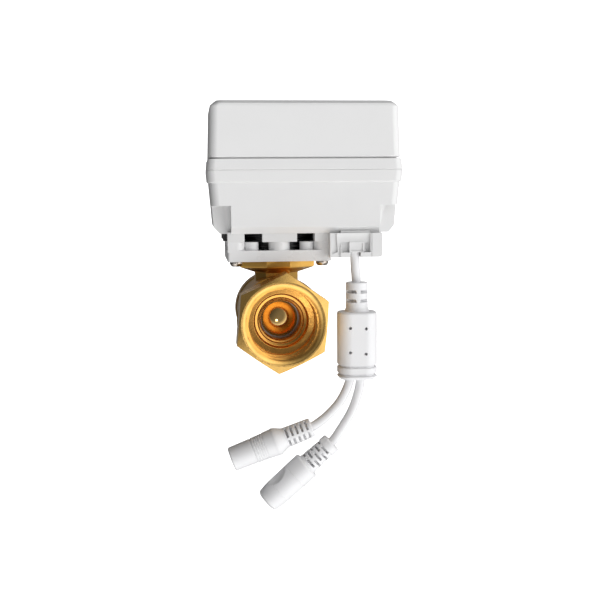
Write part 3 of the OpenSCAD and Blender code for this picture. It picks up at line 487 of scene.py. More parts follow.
HOUSING = plastic("housing_abs", (0.80, 0.80, 0.80), 0.36, grain=0.006, spread=0.012)
BASE_SKIN = plastic("base_abs", (0.745, 0.745, 0.745), 0.38, grain=0.008, spread=0.015)
BRACKET_SKIN = plastic("bracket_abs", (0.78, 0.78, 0.785), 0.27, grain=0.003, spread=0.015)
CABLE_SKIN = plastic("cable_pvc", (0.80, 0.80, 0.81), 0.33, grain=0.004, grain_scale=1800,
                     spread=0.012)
SPLITTER_SKIN = plastic("splitter_pvc", (0.80, 0.80, 0.81), 0.42, grain=0.012, grain_scale=2400,
                        spread=0.015)
GROMMET_SKIN = plastic("grommet_pvc", (0.74, 0.74, 0.74), 0.45)
BLACK = plastic("black_nylon", (0.012, 0.012, 0.013), 0.32, grain=0.008, spread=0.15)
RUBBER = plastic("black_rubber", (0.018, 0.018, 0.018), 0.7, grain=0.01, spread=0.15)
SEAT = plastic("grey_seat", (0.44, 0.45, 0.45), 0.25, grain=0.003, spread=0.06)
GEAR = plastic("gear_acetal", (0.78, 0.74, 0.60), 0.35, spread=0.03)
BLUE = plastic("blue_nylon", (0.03, 0.10, 0.42), 0.35, spread=0.06)
RED = plastic("red_nylon", (0.5, 0.03, 0.02), 0.35, spread=0.06)
GREEN = plastic("green_terminal", (0.02, 0.22, 0.06), 0.4, spread=0.06)
WIRE = plastic("wire_jacket", (0.42, 0.03, 0.02), 0.4, spread=0.05)
CAST_BRASS = brass("cast_brass", (0.78, 0.45, 0.11), 0.33, 0.05, 900)
# The last colour is the painted shade inside the bore
TURNED_BRASS = turned_brass("turned_brass", (0.88, 0.54, 0.16), (0.82, 0.66, 0.50))
BRONZE = brass("sintered_bronze", (0.55, 0.36, 0.18), 0.5, 0.02, 2500)
CHROME = metal("chrome", (0.82, 0.82, 0.83), 0.09, 0.001, 0.03)
POLISHED = metal("polished_brass", (0.80, 0.52, 0.20), 0.07, 0.0008, 0.05)
SCREW = metal("screw_steel", (0.50, 0.45, 0.40), 0.24, 0.003)
ZINC = metal("zinc_plate", (0.66, 0.68, 0.72), 0.32, 0.004)
GOLD = metal("gold_contact", (0.95, 0.72, 0.30), 0.2, 0.002)
BOARD = circuit_board()


# ---------- camera and light

def set_camera():
    """A long lens from the left and above, at the photograph's angle."""
    yaw, pitch, roll = math.radians(6.2), math.radians(6.5), math.radians(0.42)
    distance = 355.0
    # The port's centre stands left of and below the middle of the view
    port_left, port_down = 7.41, 6.89
    aim = Vector((0, PORT_FACE_Y, 0))
    forward = Vector((math.sin(yaw) * math.cos(pitch), math.cos(yaw) * math.cos(pitch),
                      -math.sin(pitch)))
    level = forward.cross(Vector((0, 0, 1))).normalized()
    upright = level.cross(forward)
    right = level * math.cos(roll) - upright * math.sin(roll)
    up = upright * math.cos(roll) + level * math.sin(roll)
    eye = aim - forward * distance + right * port_left + up * port_down
    data = bpy.data.cameras.new("camera")
    data.sensor_width = 36.0
    data.lens = 60.2
    data.clip_start = 0.01
    data.clip_end = 20
    camera = show("camera", data)
    turn = Matrix((right, up, -forward)).transposed().to_4x4()
    camera.matrix_world = Matrix.Translation(eye * MM) @ turn
    bpy.context.scene.camera = camera


# Which way the sky brightens and how bright it is on average
SKY_SWING = Vector((0.34, -1.75, -0.20))
SKY_LEVEL = 0.64
SKY_LEAST = 0.25
# Which way the shade at the upper left ends, and where the dark room round the camera is
SKY_SHADE = Vector((0.84, 0, -0.55))
CAMERA_FROM = Vector((-0.05, -0.99, 0.08))


def facing(sky, towards):
    """How far a direction of the sky reaches along a vector."""
    made = sky.node("ShaderNodeVectorMath", {"operation": "DOT_PRODUCT"})
    sky.tree.links.new(sky.where, made.inputs[0])
    made.inputs[1].default_value = towards
    return made.outputs["Value"]


def smooth_change(sky, value, start_end, results):
    """Passes smoothly from one result to another while the value goes from start to end."""
    made = sky.node("ShaderNodeMapRange", {"interpolation_type": "SMOOTHSTEP"}, Value=value)
    names = ("From Min", "From Max", "To Min", "To Max")
    for name, number in zip(names, (*start_end, *results)):
        made.inputs[name].default_value = number
    return made.outputs["Result"]


def sky_strength(sky):
    """Bright low on the right and dim to the upper left, with a dark room round the camera."""
    level = sky.math("MAXIMUM", sky.math("ADD", facing(sky, SKY_SWING), SKY_LEVEL), SKY_LEAST)
    shade = smooth_change(sky, facing(sky, SKY_SHADE), (-0.75, 0.12), (0.17, 1.03))
    room = smooth_change(sky, facing(sky, CAMERA_FROM), (0.72, 0.93), (1.0, 0.10))
    light = sky.math("MULTIPLY", sky.math("MULTIPLY", level, shade), room)
    # The camera itself sees plain white where the sweep ends
    seen = sky.node("ShaderNodeLightPath").outputs["Is Camera Ray"]
    return sky.math("ADD", sky.math("MULTIPLY", light, sky.math("SUBTRACT", 1.0, seen)), seen)


class Sky(Surface):
    """The studio's surroundings, as a world."""

    def __init__(self, name):
        """Starts from a plain white background, in directions round the object."""
        self.world = bpy.data.worlds.new(name)
        self.world.use_nodes = True
        self.tree = self.world.node_tree
        self.shader = self.tree.nodes["Background"]
        self.set(Color=(1, 1, 1, 1))
        self.where = self.tree.nodes.new("ShaderNodeTexCoord").outputs["Generated"]


def set_sweep():
    """A white sweep behind and below, which only the camera sees."""
    floor_z, back_y = -0.32, 0.9
    radius = 0.35
    bend = arc((back_y - radius, floor_z + radius), radius, -90, 0, 12)
    profile = [(-0.2, floor_z), *bend, (back_y, 1.4)]
    points = [(x, y, z) for x in (-0.9, 1.2) for y, z in profile]
    count = len(profile)
    faces = [(k, k + 1, count + k + 1, count + k) for k in range(count - 1)]
    mesh = bpy.data.meshes.new("sweep")
    mesh.from_pydata(points, [], faces)
    mesh.shade_smooth()
    sweep = show("sweep", mesh)
    paper = Surface("paper")
    paper.join(paper.ramp(paper.noise(6), [(0.3, (0.80, 0.80, 0.80)), (0.7, (0.83, 0.83, 0.83))]),
               "Base Color")
    paper.set(Roughness=0.9, Emission_Color=(1, 1, 1, 1), Emission_Strength=1.0)
    mesh.materials.append(paper.material)
    # All light on the object comes from the sky and the key
    sweep.visible_diffuse = False
    sweep.visible_glossy = False
    sweep.visible_shadow = False


def set_studio():
    """A sky that is bright low on the right and darker to the upper left, and a small key light."""
    sky = Sky("studio")
    sky.join(sky_strength(sky), "Strength")
    bpy.context.scene.world = sky.world
    set_sweep()
    data = bpy.data.lights.new("key", "AREA")
    data.size = 0.05
    data.energy = 0.25
    key = show("key", data)
    position = Vector((-0.06, -0.78, -0.19))
    aim = Vector((0.01, 0.02, 0.02)) - position
    key.matrix_world = (Matrix.Translation(position)
                        @ aim.to_track_quat("-Z", "Y").to_matrix().to_4x4())
    bpy.context.scene.view_settings.view_transform = "Standard"


# ---------- cords

def smooth_route(route, steps=4):
    """A Catmull-Rom line through a route of (x, z), in metres."""
    points = [Vector((x, CABLE_Y, z)) * MM for x, z in route]
    ends = [points[0] * 2 - points[1], *points, points[-1] * 2 - points[-2]]
    out = []
    for i in range(1, len(ends) - 2):
        a, b, c, d = ends[i - 1:i + 3]
        for k in range(steps):
            t = k / steps
            out.append(0.5 * (2 * b + (c - a) * t + (2 * a - 5 * b + 4 * c - d) * t * t
                              + (3 * b - a - 3 * c + d) * t ** 3))
    out.append(points[-1])
    return out


def cord(name, route, node):
    """A round cable along a route, as a curve."""
    line = smooth_route(route)
    data = bpy.data.curves.new(name, "CURVE")
    data.dimensions = "3D"
    data.bevel_depth = CABLE_D / 2 * MM
    data.bevel_resolution = 8
    data.use_fill_caps = True
    spline = data.splines.new("POLY")
    spline.points.add(len(line) - 1)
    for point, where in zip(spline.points, line):
        point.co = (*where, 1)
    spline.use_smooth = True
    data.materials.append(CABLE_SKIN)
    piece = show(name, data)
    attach(piece, "fixed")
    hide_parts(node)
    length = sum((b - a).length for a, b in zip(line, line[1:]))
    return piece, length


# ---------- housing

def house_rings(stations, steps=4):
    """Rings round the housing through stations of ((inset in x, inset in y, z), radius)."""
    rings = []
    for ix, iy, z in fillet(stations, steps):
        # A ring that is far inside has tighter corners
        tighter = max(0, (ix + iy) / 2 - 4)
        rings.append(rounded_ring(HOUSE_MID, HOUSE_W - 2 * ix, HOUSE_D - 2 * iy, z,
                                  max(0.4, HOUSE_CORNER - tighter)))
    return rings


def build_cover():
    """Top cover with its flared lower band and the groove above it."""
    groove_z = PARTING_Z + 4.0
    shoulder_z = COVER_TOP_Z - 1.9
    ceiling_z = COVER_TOP_Z - 2.4
    inside = [((3.6, 3.6, ceiling_z), 0), ((3.2, 3.2, ceiling_z), 0.3), ((2.7, 2.7, PARTING_Z), 0)]
    outside = [
        ((0.3, 0.3, PARTING_Z), 0.05), ((0.06, 0.06, PARTING_Z + 0.32), 0.08),
        ((0.42, 0.42, groove_z - 0.1), 0.1), ((0.62, 0.62, groove_z), 0.05),
        ((1.9, 1.9, groove_z + 0.02), 0.05), ((1.9, 1.9, groove_z + 0.4), 0.05),
        ((1.05, 1.05, groove_z + 0.44), 0.05), ((0.82, 0.82, groove_z + 0.72), 0.1),
        ((1.4, 1.4, shoulder_z), 0.8), ((2.3, 1.6, COVER_TOP_Z - 1.1), 0.5),
        ((3.6, 3.2, COVER_TOP_Z), 0.5), ((6.5, 6.5, COVER_TOP_Z), 0),
    ]
    cover = loft("cover", house_rings(inside + outside))
    place(cover, "housing_plastic", HOUSING, "top_cover", smooth=28)


POCKET_X, POCKET_Y = 8.3, 7.0
SCREW_INSET = 4.2
BRACKET_SCREW = 15.5
BRACKET_SCREWS = [at_stem(corner, BRACKET_SCREW, BRACKET_SCREW) for corner in CORNERS]


def pocket_block(side_x, side_y, low_z, high_z, margin):
    """Block on a corner of the housing that reaches in over a screw pocket."""
    corner = (HOUSE_MID[0] + side_x * HOUSE_W / 2, HOUSE_MID[1] + side_y * HOUSE_D / 2)
    across, along = 2 * (POCKET_X + margin), 2 * (POCKET_Y + margin)
    stations = ((low_z, 0.4), (low_z + 1, 0.4), (high_z, 3.4))
    return loft("pocket", [rounded_ring(corner, across, along, z, radius) for z, radius in stations])


def build_base():
    """Base shell with screw pockets, teeth on the bracket and the cable hood."""
    rim_z = PARTING_Z - 4.2
    wall = 2.4
    floor_z = BASE_BOTTOM_Z + wall
    roof_z = BASE_BOTTOM_Z + 10.0
    outside = [
        ((5.0, 5.0, BASE_BOTTOM_Z), 0), ((4.3, 4.3, BASE_BOTTOM_Z), 0.3),
        ((2.2, 2.2, floor_z), 0.35), ((0.95, 0.95, rim_z - 0.25), 0.1),
        ((0.38, 0.38, rim_z + 0.2), 0.15), ((0.0, 0.0, PARTING_Z), 0.12), ((wall, wall, PARTING_Z), 0),
    ]
    base = loft("base", house_rings(outside))
    cavity = loft("cavity", house_rings([
        ((3.7, 3.7, floor_z), 0), ((2.5, 2.5, PARTING_Z + 1), 0)]))
    for sx, sy in CORNERS:
        cut(cavity, pocket_block(sx, sy, BASE_BOTTOM_Z, roof_z + wall, 1.5))
    cut(base, cavity)
    for sx, sy in CORNERS:
        screw = (HOUSE_MID[0] + sx * (HOUSE_W / 2 - SCREW_INSET),
                 HOUSE_MID[1] + sy * (HOUSE_D / 2 - SCREW_INSET))
        cut(base, pocket_block(sx, sy, BASE_BOTTOM_Z - 1, roof_z, 0),
            cylinder("sink", *screw, roof_z - 1, roof_z + wall, 2.4),
            cylinder("hole", *screw, roof_z + 1, PARTING_Z + 1, 1.45))
    add(base, *build_teeth(), *screw_bosses(roof_z), *hood_blocks())
    shaft_hole = cylinder("shaft_hole", *STEM, BASE_BOTTOM_Z - 1, floor_z + 1, 7.0)
    cut(base, shaft_hole, *hood_spaces())
    soften(base, 0.18, 2, 35)
    place(base, "housing_plastic", BASE_SKIN, "base_shell", smooth=35)


def screw_bosses(high_z):
    """Cones over the bracket's four screws, which show in the left pockets."""
    return [lathe("boss", [(1.75, BASE_BOTTOM_Z - 0.4), (3.5, high_z)], 48,
                  Matrix.Translation((*screw, 0))) for screw in BRACKET_SCREWS]


def build_teeth():
    """Teeth under the base, in line with the bracket's walls."""
    tooth_half = 6.2
    corner_in = 12.6
    deep = 3.2
    high = BASE_BOTTOM_Z + 0.6
    teeth = []
    for turn in range(4):
        tooth = block("tooth", (-tooth_half, BRACKET_FRONT_Y, BRACKET_TOP_Z),
                      (tooth_half, BRACKET_FRONT_Y + deep, high))
        tooth.data.transform(around_stem(90 * turn))
        corner = block("corner", (-BRACKET_HALF, BRACKET_FRONT_Y, BRACKET_TOP_Z),
                       (-corner_in, STEM[1] - corner_in, high))
        corner.data.transform(around_stem(90 * turn))
        teeth += [tooth, corner]
    return teeth


HOOD_X = (17.6, 36.4)
HOOD_STEP_X = 20.4
HOOD_STEP_Y = BRACKET_LOW.y - 0.3
HOOD_RECESS_X = (GROMMET_LOW.x, GROMMET_HIGH.x)
HOOD_RECESS_Z = (GROMMET_LOW.z, GROMMET_HIGH.z)
HOOD_NEAR_Y = BASE_LOW.y + 1.0
HOOD_ROUND = 0.9


def hood_section(left, top):
    """Front view of the hood, as (x, z)."""
    right = HOOD_X[1]
    low = BASE_LOW.z
    corner = arc((right - HOOD_ROUND, low + HOOD_ROUND), HOOD_ROUND, -90, 0, 4)
    return [(left, top), (left, low), *corner, (right, top)]


def hood_blocks():
    """The two blocks of the cable hood: wide in front of the bracket, narrower beside it."""
    return [
        front_prism("hood", hood_section(HOOD_X[0], BASE_BOTTOM_Z), HOOD_NEAR_Y, HOOD_STEP_Y + 0.4),
        front_prism("hood_back", hood_section(HOOD_STEP_X, BASE_BOTTOM_Z + 1), HOOD_STEP_Y, 24.0),
        block("wire_cover", (HOOD_RECESS_X[0], CABLE_Y - 1.6, BASE_BOTTOM_Z - 0.6),
              (HOOD_RECESS_X[1], HOOD_STEP_Y + 1, BASE_BOTTOM_Z + 0.8)),
    ]


def hood_spaces():
    """What is hollow in the hood: recess, shallow scoop, side grooves, cable notch and wire way."""
    open_y = BASE_LOW.y
    low_z, high_z = HOOD_RECESS_Z
    left, right = HOOD_RECESS_X
    recess = block("recess", (left, open_y, low_z), (right, 17, high_z))
    scoop_r = 5.0
    past = 1.4
    scoop = lathe("scoop", [(scoop_r, 0), (scoop_r, right - left + past)], 64,
                  Matrix.Translation((left - past, HOOD_NEAR_Y - scoop_r + 0.9, high_z + past))
                  @ Matrix.Rotation(math.radians(90), 4, "Y"))
    x = HOOD_CABLE_X
    notch_r = CABLE_D / 2 + 0.2
    way_low, way_high, way_back = x - 3.4, x + 3.6, 18
    way = block("way", (way_low, CABLE_Y + 1.2, low_z), (way_high, way_back, BASE_BOTTOM_Z - 1.0))
    riser = block("riser", (way_low, HOOD_STEP_Y + 1, low_z + 1),
                  (way_high, way_back, BASE_BOTTOM_Z + 2.6))
    notch = cylinder("notch", x, CABLE_Y, BASE_LOW.z - 1, low_z + 0.5, notch_r)
    slot = block("slot", (x - notch_r, open_y, BASE_LOW.z - 1), (x + notch_r, CABLE_Y, low_z + 0.5))
    cheek_x = right + 0.3
    line = block("line", (cheek_x, open_y, BASE_LOW.z - 1),
                 (cheek_x + 0.35, HOOD_NEAR_Y + 0.35, BASE_BOTTOM_Z + 1))
    return [recess, scoop, way, riser, notch, slot, line, *wedge_gaps()]


def wedge_gaps():
    """Slanted gaps on both sides of a rib beside the hood's left wall."""
    low = BASE_LOW.z - 1
    deep = HOOD_NEAR_Y + 0.7
    left_gap = [(18.3, low + 2.1), (20.3, low + 3.0), (19.9, low + 9.4), (18.3, low + 9.4)]
    right_gap = [(20.4, low), (21.3, low), (21.4, low + 6.4), (20.6, low + 9.4), (20.1, low + 9.4)]
    return [front_prism("gap", gap, BASE_LOW.y, deep) for gap in (left_gap, right_gap)]


# ---------- bracket

BRACKET_WALL = 3.2
BRACKET_FLOOR_Z = BRACKET_BOTTOM_Z + 2.2
BRACKET_WALL_Z = BRACKET_BOTTOM_Z + 3.95
FLANGE_SCREW = (9.5, 5.5)


def bracket_column(side):
    """Column at one end of the bracket's front wall, with a round hollow towards the posts."""
    inner = 16.3
    hollow_r = BRACKET_TOP_Z - BRACKET_WALL_Z + 0.2
    foot_z = BRACKET_WALL_Z - 0.6
    outline = [(BRACKET_HALF, foot_z), (BRACKET_HALF, BRACKET_TOP_Z), (inner, BRACKET_TOP_Z),
               *arc((inner - hollow_r, BRACKET_TOP_Z), hollow_r, 0, -90, 8)[1:],
               (inner - hollow_r - 0.6, foot_z)]
    return front_prism("column", [(side * x, z) for x, z in outline],
                       BRACKET_FRONT_Y + 0.02, BRACKET_FRONT_Y + BRACKET_WALL - 0.02)


def bracket_side():
    """What stands on the front side of the bracket: a half-round hub, posts, columns and a boss."""
    foot_z = BRACKET_FLOOR_Z - 0.5
    hub = cylinder("hub", 0, BRACKET_FRONT_Y + 3.95, foot_z, BRACKET_TOP_Z, 3.9, 64)
    behind = block("back", (-5, BRACKET_FRONT_Y + BRACKET_WALL, 0), (5, BRACKET_FRONT_Y + 12, 60))
    parts = [cut(hub, behind)]
    for side in SIDES:
        parts.append(cylinder("post", side * 10, BRACKET_FRONT_Y + 4.0, foot_z, BRACKET_TOP_Z - 0.1,
                              2.6))
        parts.append(bracket_column(side))
    parts.append(cylinder("boss", *BRACKET_SCREWS[0], foot_z, BRACKET_TOP_Z - 0.02, 3.05))
    return parts


def build_bracket():
    """Square bracket: a floor, four crowned walls with round posts, and corner columns."""
    half = BRACKET_HALF
    plan = [(x, y) for x, y, _ in rounded_ring(STEM, 2 * half, 2 * half, 0, 0.8, 4)]
    bracket = prism("bracket", plan, BRACKET_BOTTOM_Z, BRACKET_WALL_Z)
    cut(bracket, block("tray", (-half + BRACKET_WALL, BRACKET_FRONT_Y + BRACKET_WALL, BRACKET_FLOOR_Z),
                       (half - BRACKET_WALL, BRACKET_FRONT_Y + 2 * half - BRACKET_WALL,
                        BRACKET_WALL_Z + 1)))
    for turn in range(4):
        parts = bracket_side()
        for part in parts:
            part.data.transform(around_stem(90 * turn))
        add(bracket, *parts)
    under_z = BRACKET_BOTTOM_Z - 1
    cut(bracket, cylinder("pilot", *STEM, under_z, BRACKET_FLOOR_Z + 1, 6.65))
    for corner, screw in zip(CORNERS, BRACKET_SCREWS):
        flange = at_stem(corner, *FLANGE_SCREW)
        cut(bracket, cylinder("hole", *flange, under_z, BRACKET_FLOOR_Z + 1, 1.4),
            cylinder("hole", *screw, under_z, BRACKET_TOP_Z + 1, 1.6))
    soften(bracket, 0.18, 2, 40)
    place(bracket, "housing_plastic", BRACKET_SKIN, "bracket", smooth=35)


def build_lock_ring():
    """Black ring with three ridges and four ears that reach out under the base."""
    inner = 11.5
    outer = RING_HIGH.y - STEM[1]
    waist = outer - 0.9
    profile = [(inner, RING_LOW.z), (waist, RING_LOW.z)]
    for k in range(3):
        z = RING_LOW.z + 0.6 + 1.8 * k
        profile += [(waist, z), (outer, z + 0.25), (outer, z + 0.75), (waist, z + 1.0)]
    profile += [(waist, RING_HIGH.z), (inner, RING_HIGH.z)]
    ring = loft("ring", [circle(radius, z, 96, STEM) for radius, z in profile], endless=True)
    ear_x, ear_y, ear_half = 12.4, 9.4, 2.6
    for corner in CORNERS:
        x = sorted((corner[0] * ear_x, corner[0] * RING_HIGH.x))
        y = at_stem(corner, ear_x, ear_y)[1]
        add(ring, block("ear", (x[0], y - ear_half, BRACKET_TOP_Z + 0.2),
                        (x[1], y + ear_half, BRACKET_TOP_Z + 2.8)))
    soften(ring, 0.12, 2, 40)
    place(ring, "black_plastic", BLACK, "lock_ring")


def screw_head(radius, height, drive):
    """Pan head standing on z = 0 with a cross recess."""
    head = lathe("head", [(0, 0), *fillet([
        ((radius * 0.8, 0), 0), ((radius, 0), 0.2), ((radius, height * 0.45), height * 0.5),
        ((radius * 0.72, height), height * 0.4), ((0, height), 0)], 5)], 48)
    arms = []
    arm_half = 0.32
    for turn in (0, 90):
        arm = block("arm", (-drive, -arm_half, height * 0.35), (drive, arm_half, height + 1))
        arm.data.transform(Matrix.Rotation(math.radians(turn + 25), 4, "Z"))
        arms.append(arm)
    return cut(head, *arms)


def build_bracket_screws():
    """Four screws from below through the bracket's corners into the base."""
    low, high = span("bracket_screws")
    head_h = BRACKET_BOTTOM_Z - low.z
    screws = []
    for screw in BRACKET_SCREWS:
        head = screw_head(2.35, head_h, 1.35)
        add(head, cylinder("shank", 0, 0, BRACKET_BOTTOM_Z - high.z, 0.3, 1.28, 24))
        head.data.transform(Matrix.Translation((*screw, BRACKET_BOTTOM_Z))
                            @ Matrix.Rotation(math.radians(180), 4, "X"))
        screws.append(head)
    place(merged("under_screws", screws), "screw_steel", SCREW, "bracket_screws")


# ---------- valve

HEX_FLATS = 31.0
HEX_CORNER = HEX_FLATS / 2 / math.cos(math.radians(30))
HEX_LENGTH = 12.0
HEX_TURN = -25
BODY_R = 15.0
BODY_FRONT_R = 15.8
BODY_BACK_R = 14.2
COLLAR_R = 14.6
COLLAR_LENGTH = 9.0
SPIGOT_R = 14.2
SEAT_BORE_R = 10.02
PIPE_BORE_R = 7.1
SEAT_LOW, SEAT_HIGH = span("seat_front")
MOUTH_R = 14.1
THREAD_MAJOR_R = 13.22
THREAD_MINOR_R = 12.06
THREAD_PITCH = 1.814
THREAD_START = 0.9
THREAD_END = 9.4
# Below the thread, every port narrows to a first step
FIRST_STEP = [((12.0, THREAD_END + 0.1), 0), ((12.0, 10.1), 0.15)]


def hexagon():
    """Hexagon of a port with turned chamfers and slightly worn edges."""
    corners = arc((0, 0), HEX_CORNER, HEX_TURN, HEX_TURN + 300, 5)
    near_y, far_y = PORT_FACE_Y, PORT_FACE_Y + HEX_LENGTH
    solid = prism("hex", corners, near_y, far_y)
    face_r = 14.9
    limit = lathe("limit", [
        (face_r, near_y - 0.01), (face_r, near_y), (HEX_CORNER + 0.2, near_y + 2.4),
        (HEX_CORNER + 0.3, far_y - 1.2), (HEX_CORNER - 0.9, far_y)], 144)
    combine(solid, limit, "INTERSECT")
    soften(solid, 0.3, 3, 20)
    solid.data.transform(ALONG_PIPE)
    return solid


def thread_radius(y, angle):
    """Radius of the thread's wall at a distance y inside the face, going round by angle."""
    depth = THREAD_MAJOR_R - THREAD_MINOR_R
    phase = (y / THREAD_PITCH - angle / (2 * math.pi)) % 1.0
    rise = abs(2 * phase - 1)
    flat = 0.16
    share = min(1, max(0, (rise - flat) / (1 - 2 * flat)))
    share = share * share * (3 - 2 * share)
    run_out = 1.2
    fade = min(1, max(0, (THREAD_END - y) / run_out))
    return THREAD_MINOR_R + depth * share * fade


def port_tool(steps_down):
    """What is bored and threaded out of a port: a lead-in, a helical thread, then steps inwards."""
    steps = 120
    lead_in = fillet([((0.01, -1), 0), ((MOUTH_R + 0.35, -1), 0), ((MOUTH_R + 0.35, -0.05), 0),
                      ((MOUTH_R, 0.25), 0.2), ((THREAD_MAJOR_R, THREAD_START - 0.1), 0)], 3)
    rings = [circle(radius, PORT_FACE_Y + y, steps) for radius, y in lead_in]
    layers = int((THREAD_END - THREAD_START) / 0.16)
    for i in range(layers + 1):
        y = THREAD_START + (THREAD_END - THREAD_START) * i / layers
        ring = []
        for k in range(steps):
            angle = 2 * math.pi * k / steps
            radius = thread_radius(y, angle)
            ring.append((radius * math.cos(angle), radius * math.sin(angle), PORT_FACE_Y + y))
        rings.append(ring)
    rings += [circle(radius, PORT_FACE_Y + y, steps) for radius, y in fillet(steps_down, 3)]
    tool = loft("port", rings)
    tool.data.transform(ALONG_PIPE)
    return tool


def build_end_cap():
    """Near port: hexagon, thread and the spigot inside the body."""
    cap = hexagon()
    add(cap, turned("spigot", [(SPIGOT_R, PORT_FACE_Y + HEX_LENGTH - 0.5), (SPIGOT_R, CAP_HIGH.y)]))
    end_y = SEAT_LOW.y - PORT_FACE_Y + 0.3
    steps_down = [
        *FIRST_STEP, ((9.9, 10.3), 0.3), ((9.6, 10.8), 0.25), ((9.4, 11.9), 0.3), ((8.4, 12.15), 0.25),
        ((8.1, 12.8), 0.2), ((7.5, 13.1), 0.2), ((PIPE_BORE_R, 13.8), 0.2), ((PIPE_BORE_R, end_y), 0),
        ((0.01, end_y), 0)]
    cut(cap, port_tool(steps_down),
        turned("seat_bore", [(SEAT_BORE_R, SEAT_LOW.y), (SEAT_BORE_R, CAP_HIGH.y + 1)]))
    place(cap, "brass", TURNED_BRASS, "end_cap", smooth=32)


# Half width, half depth and half of the long side's length of the two octagons round the stem
NECK = (7.9, 7.6, 3.2)
PAD = (13.8, 12, 5.5)
FLAT_X = 4.3


def octagon(size, scale, z):
    """Octagon round the stem at a height."""
    wide, deep, flat_y = size
    plan = [(FLAT_X, deep), (-FLAT_X, deep), (-wide, flat_y), (-wide, -flat_y), (-FLAT_X, -deep),
            (FLAT_X, -deep), (wide, -flat_y), (wide, flat_y)]
    return [(x * scale, STEM[1] + y * scale, z) for x, y in plan]


def pad_ring(inset, z):
    """Section of the pad under the bracket, drawn in by an inset."""
    return octagon(PAD, 1 - inset / PAD[0], z)


def build_valve_body():
    """Cast body with its neck and pad, and the round collar of the far port."""
    near_y = PORT_FACE_Y + HEX_LENGTH
    face_y = BODY_HIGH.y
    collar_y = face_y - COLLAR_LENGTH
    seat_edge_y = 2 * STEM[1] - SEAT_HIGH.y
    seat_wall_y = 2 * STEM[1] - SEAT_LOW.y
    body = turned("body", fillet([
        ((BODY_FRONT_R - 0.7, near_y + 0.02), 0), ((BODY_FRONT_R, near_y + 0.9), 0.6),
        ((BODY_R, STEM[1]), 12), ((BODY_BACK_R, collar_y), 0.4), ((COLLAR_R, collar_y + 0.5), 0.4),
        ((COLLAR_R, face_y - 0.6), 0.3), ((COLLAR_R - 0.5, face_y), 0)], 6))
    neck = loft("neck", [octagon(NECK, 1, 6), octagon(NECK, 1, 16.2), octagon(NECK, 1.12, 17.0)])
    pad = loft("pad", [octagon(NECK, 1.05, 16.4), pad_ring(3.2, 17.2), pad_ring(0.25, 18.3),
                       pad_ring(0, 18.8), pad_ring(0, BRACKET_BOTTOM_Z - 0.02)])
    add(body, neck, pad)
    soften(body, 0.5, 3, 25)
    add(body, cylinder("pilot", *STEM, BRACKET_BOTTOM_Z - 1, BRACKET_BOTTOM_Z + 1.4, 6.6))
    gap = 0.02
    cut(body, turned("spigot_bore", [(SPIGOT_R + gap, near_y - 1), (SPIGOT_R + gap, CAP_HIGH.y + gap)]))
    room_r = 13.6
    cut(body, turned("ball_room", [
        (room_r, CAP_HIGH.y - 0.5), (room_r, STEM[1] + 4), (10.8, seat_edge_y),
        (SEAT_BORE_R, seat_edge_y), (SEAT_BORE_R, seat_wall_y)]))
    outlet = port_tool([*FIRST_STEP, ((7.2, 10.4), 0.2), ((PIPE_BORE_R, 13), 0), ((0.01, 13), 0)])
    outlet.data.transform(Matrix.Translation((0, face_y + PORT_FACE_Y, 0))
                          @ Matrix.Rotation(math.radians(180), 4, "Z"))
    cut(body, outlet, cylinder("stem_hole", *STEM, 0, BRACKET_BOTTOM_Z + 3, 4.05),
        cylinder("shoulder_hole", *STEM, 0, 15.8, 5.6))
    place(body, "brass", CAST_BRASS, "valve_body", smooth=32)


# ---------- grommet and splitter

CABLE_HOLE_R = CABLE_D / 2 + 0.02


def build_grommet():
    """Square plug that holds the cable in the hood."""
    low, high = GROMMET_LOW, GROMMET_HIGH
    x = HOOD_CABLE_X
    half = 2.7
    grommet = block("grommet", (x - half + 0.5, low.y, low.z), (x + half + 0.5, low.y + 4, high.z))
    add(grommet, block("flange", (low.x, low.y + 1.5, low.z + 0.01), (high.x, high.y, high.z - 0.01)))
    cut(grommet, cylinder("hole", x, CABLE_Y, low.z - 1, high.z + 1, CABLE_HOLE_R))
    cut(grommet, block("dish", (x - half + 1.0, low.y - 1, low.z + 0.5),
                       (x + half - 0.1, low.y + 0.35, high.z - 0.5)))
    soften(grommet, 0.12, 2, 40)
    place(grommet, "grommet_plastic", GROMMET_SKIN, "cable_grommet")


SPLITTER_SHOULDER_Z = 2.9


def splitter_ring(inset, z):
    """Section of the splitter's block at a height."""
    width = SPLITTER_HIGH.x - SPLITTER_LOW.x
    deep = SPLITTER_HIGH.y - SPLITTER_LOW.y
    middle = ((SPLITTER_HIGH.x + SPLITTER_LOW.x) / 2, CABLE_Y)
    return rounded_ring(middle, width - 2 * inset, deep - 2 * inset, z, 4.6 - inset * 0.8, 10)


def splitter_neck(mid_x):
    """Round neck with two rows of slots, which leave a spine on the left and right."""
    foot, top = SPLITTER_SHOULDER_Z, SPLITTER_HIGH.z
    neck = lathe("neck", fillet([
        ((4.6, foot - 0.5), 0), ((4.4, foot + 0.3), 0.4), ((4.0, foot + 1.4), 0.4), ((3.95, 6.0), 0),
        ((3.95, top), 0.5), ((2.2, top), 0)], 5), 64, Matrix.Translation((mid_x, CABLE_Y, 0)))
    spine, outside = 0.7, 5
    for z in (6.3, 9.6):
        for side in SIDES:
            outline = [(mid_x + side * x, h)
                       for x, h in ((0.6, z), (0.9, z + 1.2), (5.2, z + 1.2), (5.2, z))]
            for near, far in ((-outside, -spine), (spine, outside)):
                cut(neck, front_prism("slot", outline, CABLE_Y + near, CABLE_Y + far))
    return soften(neck, 0.12, 2, 38)


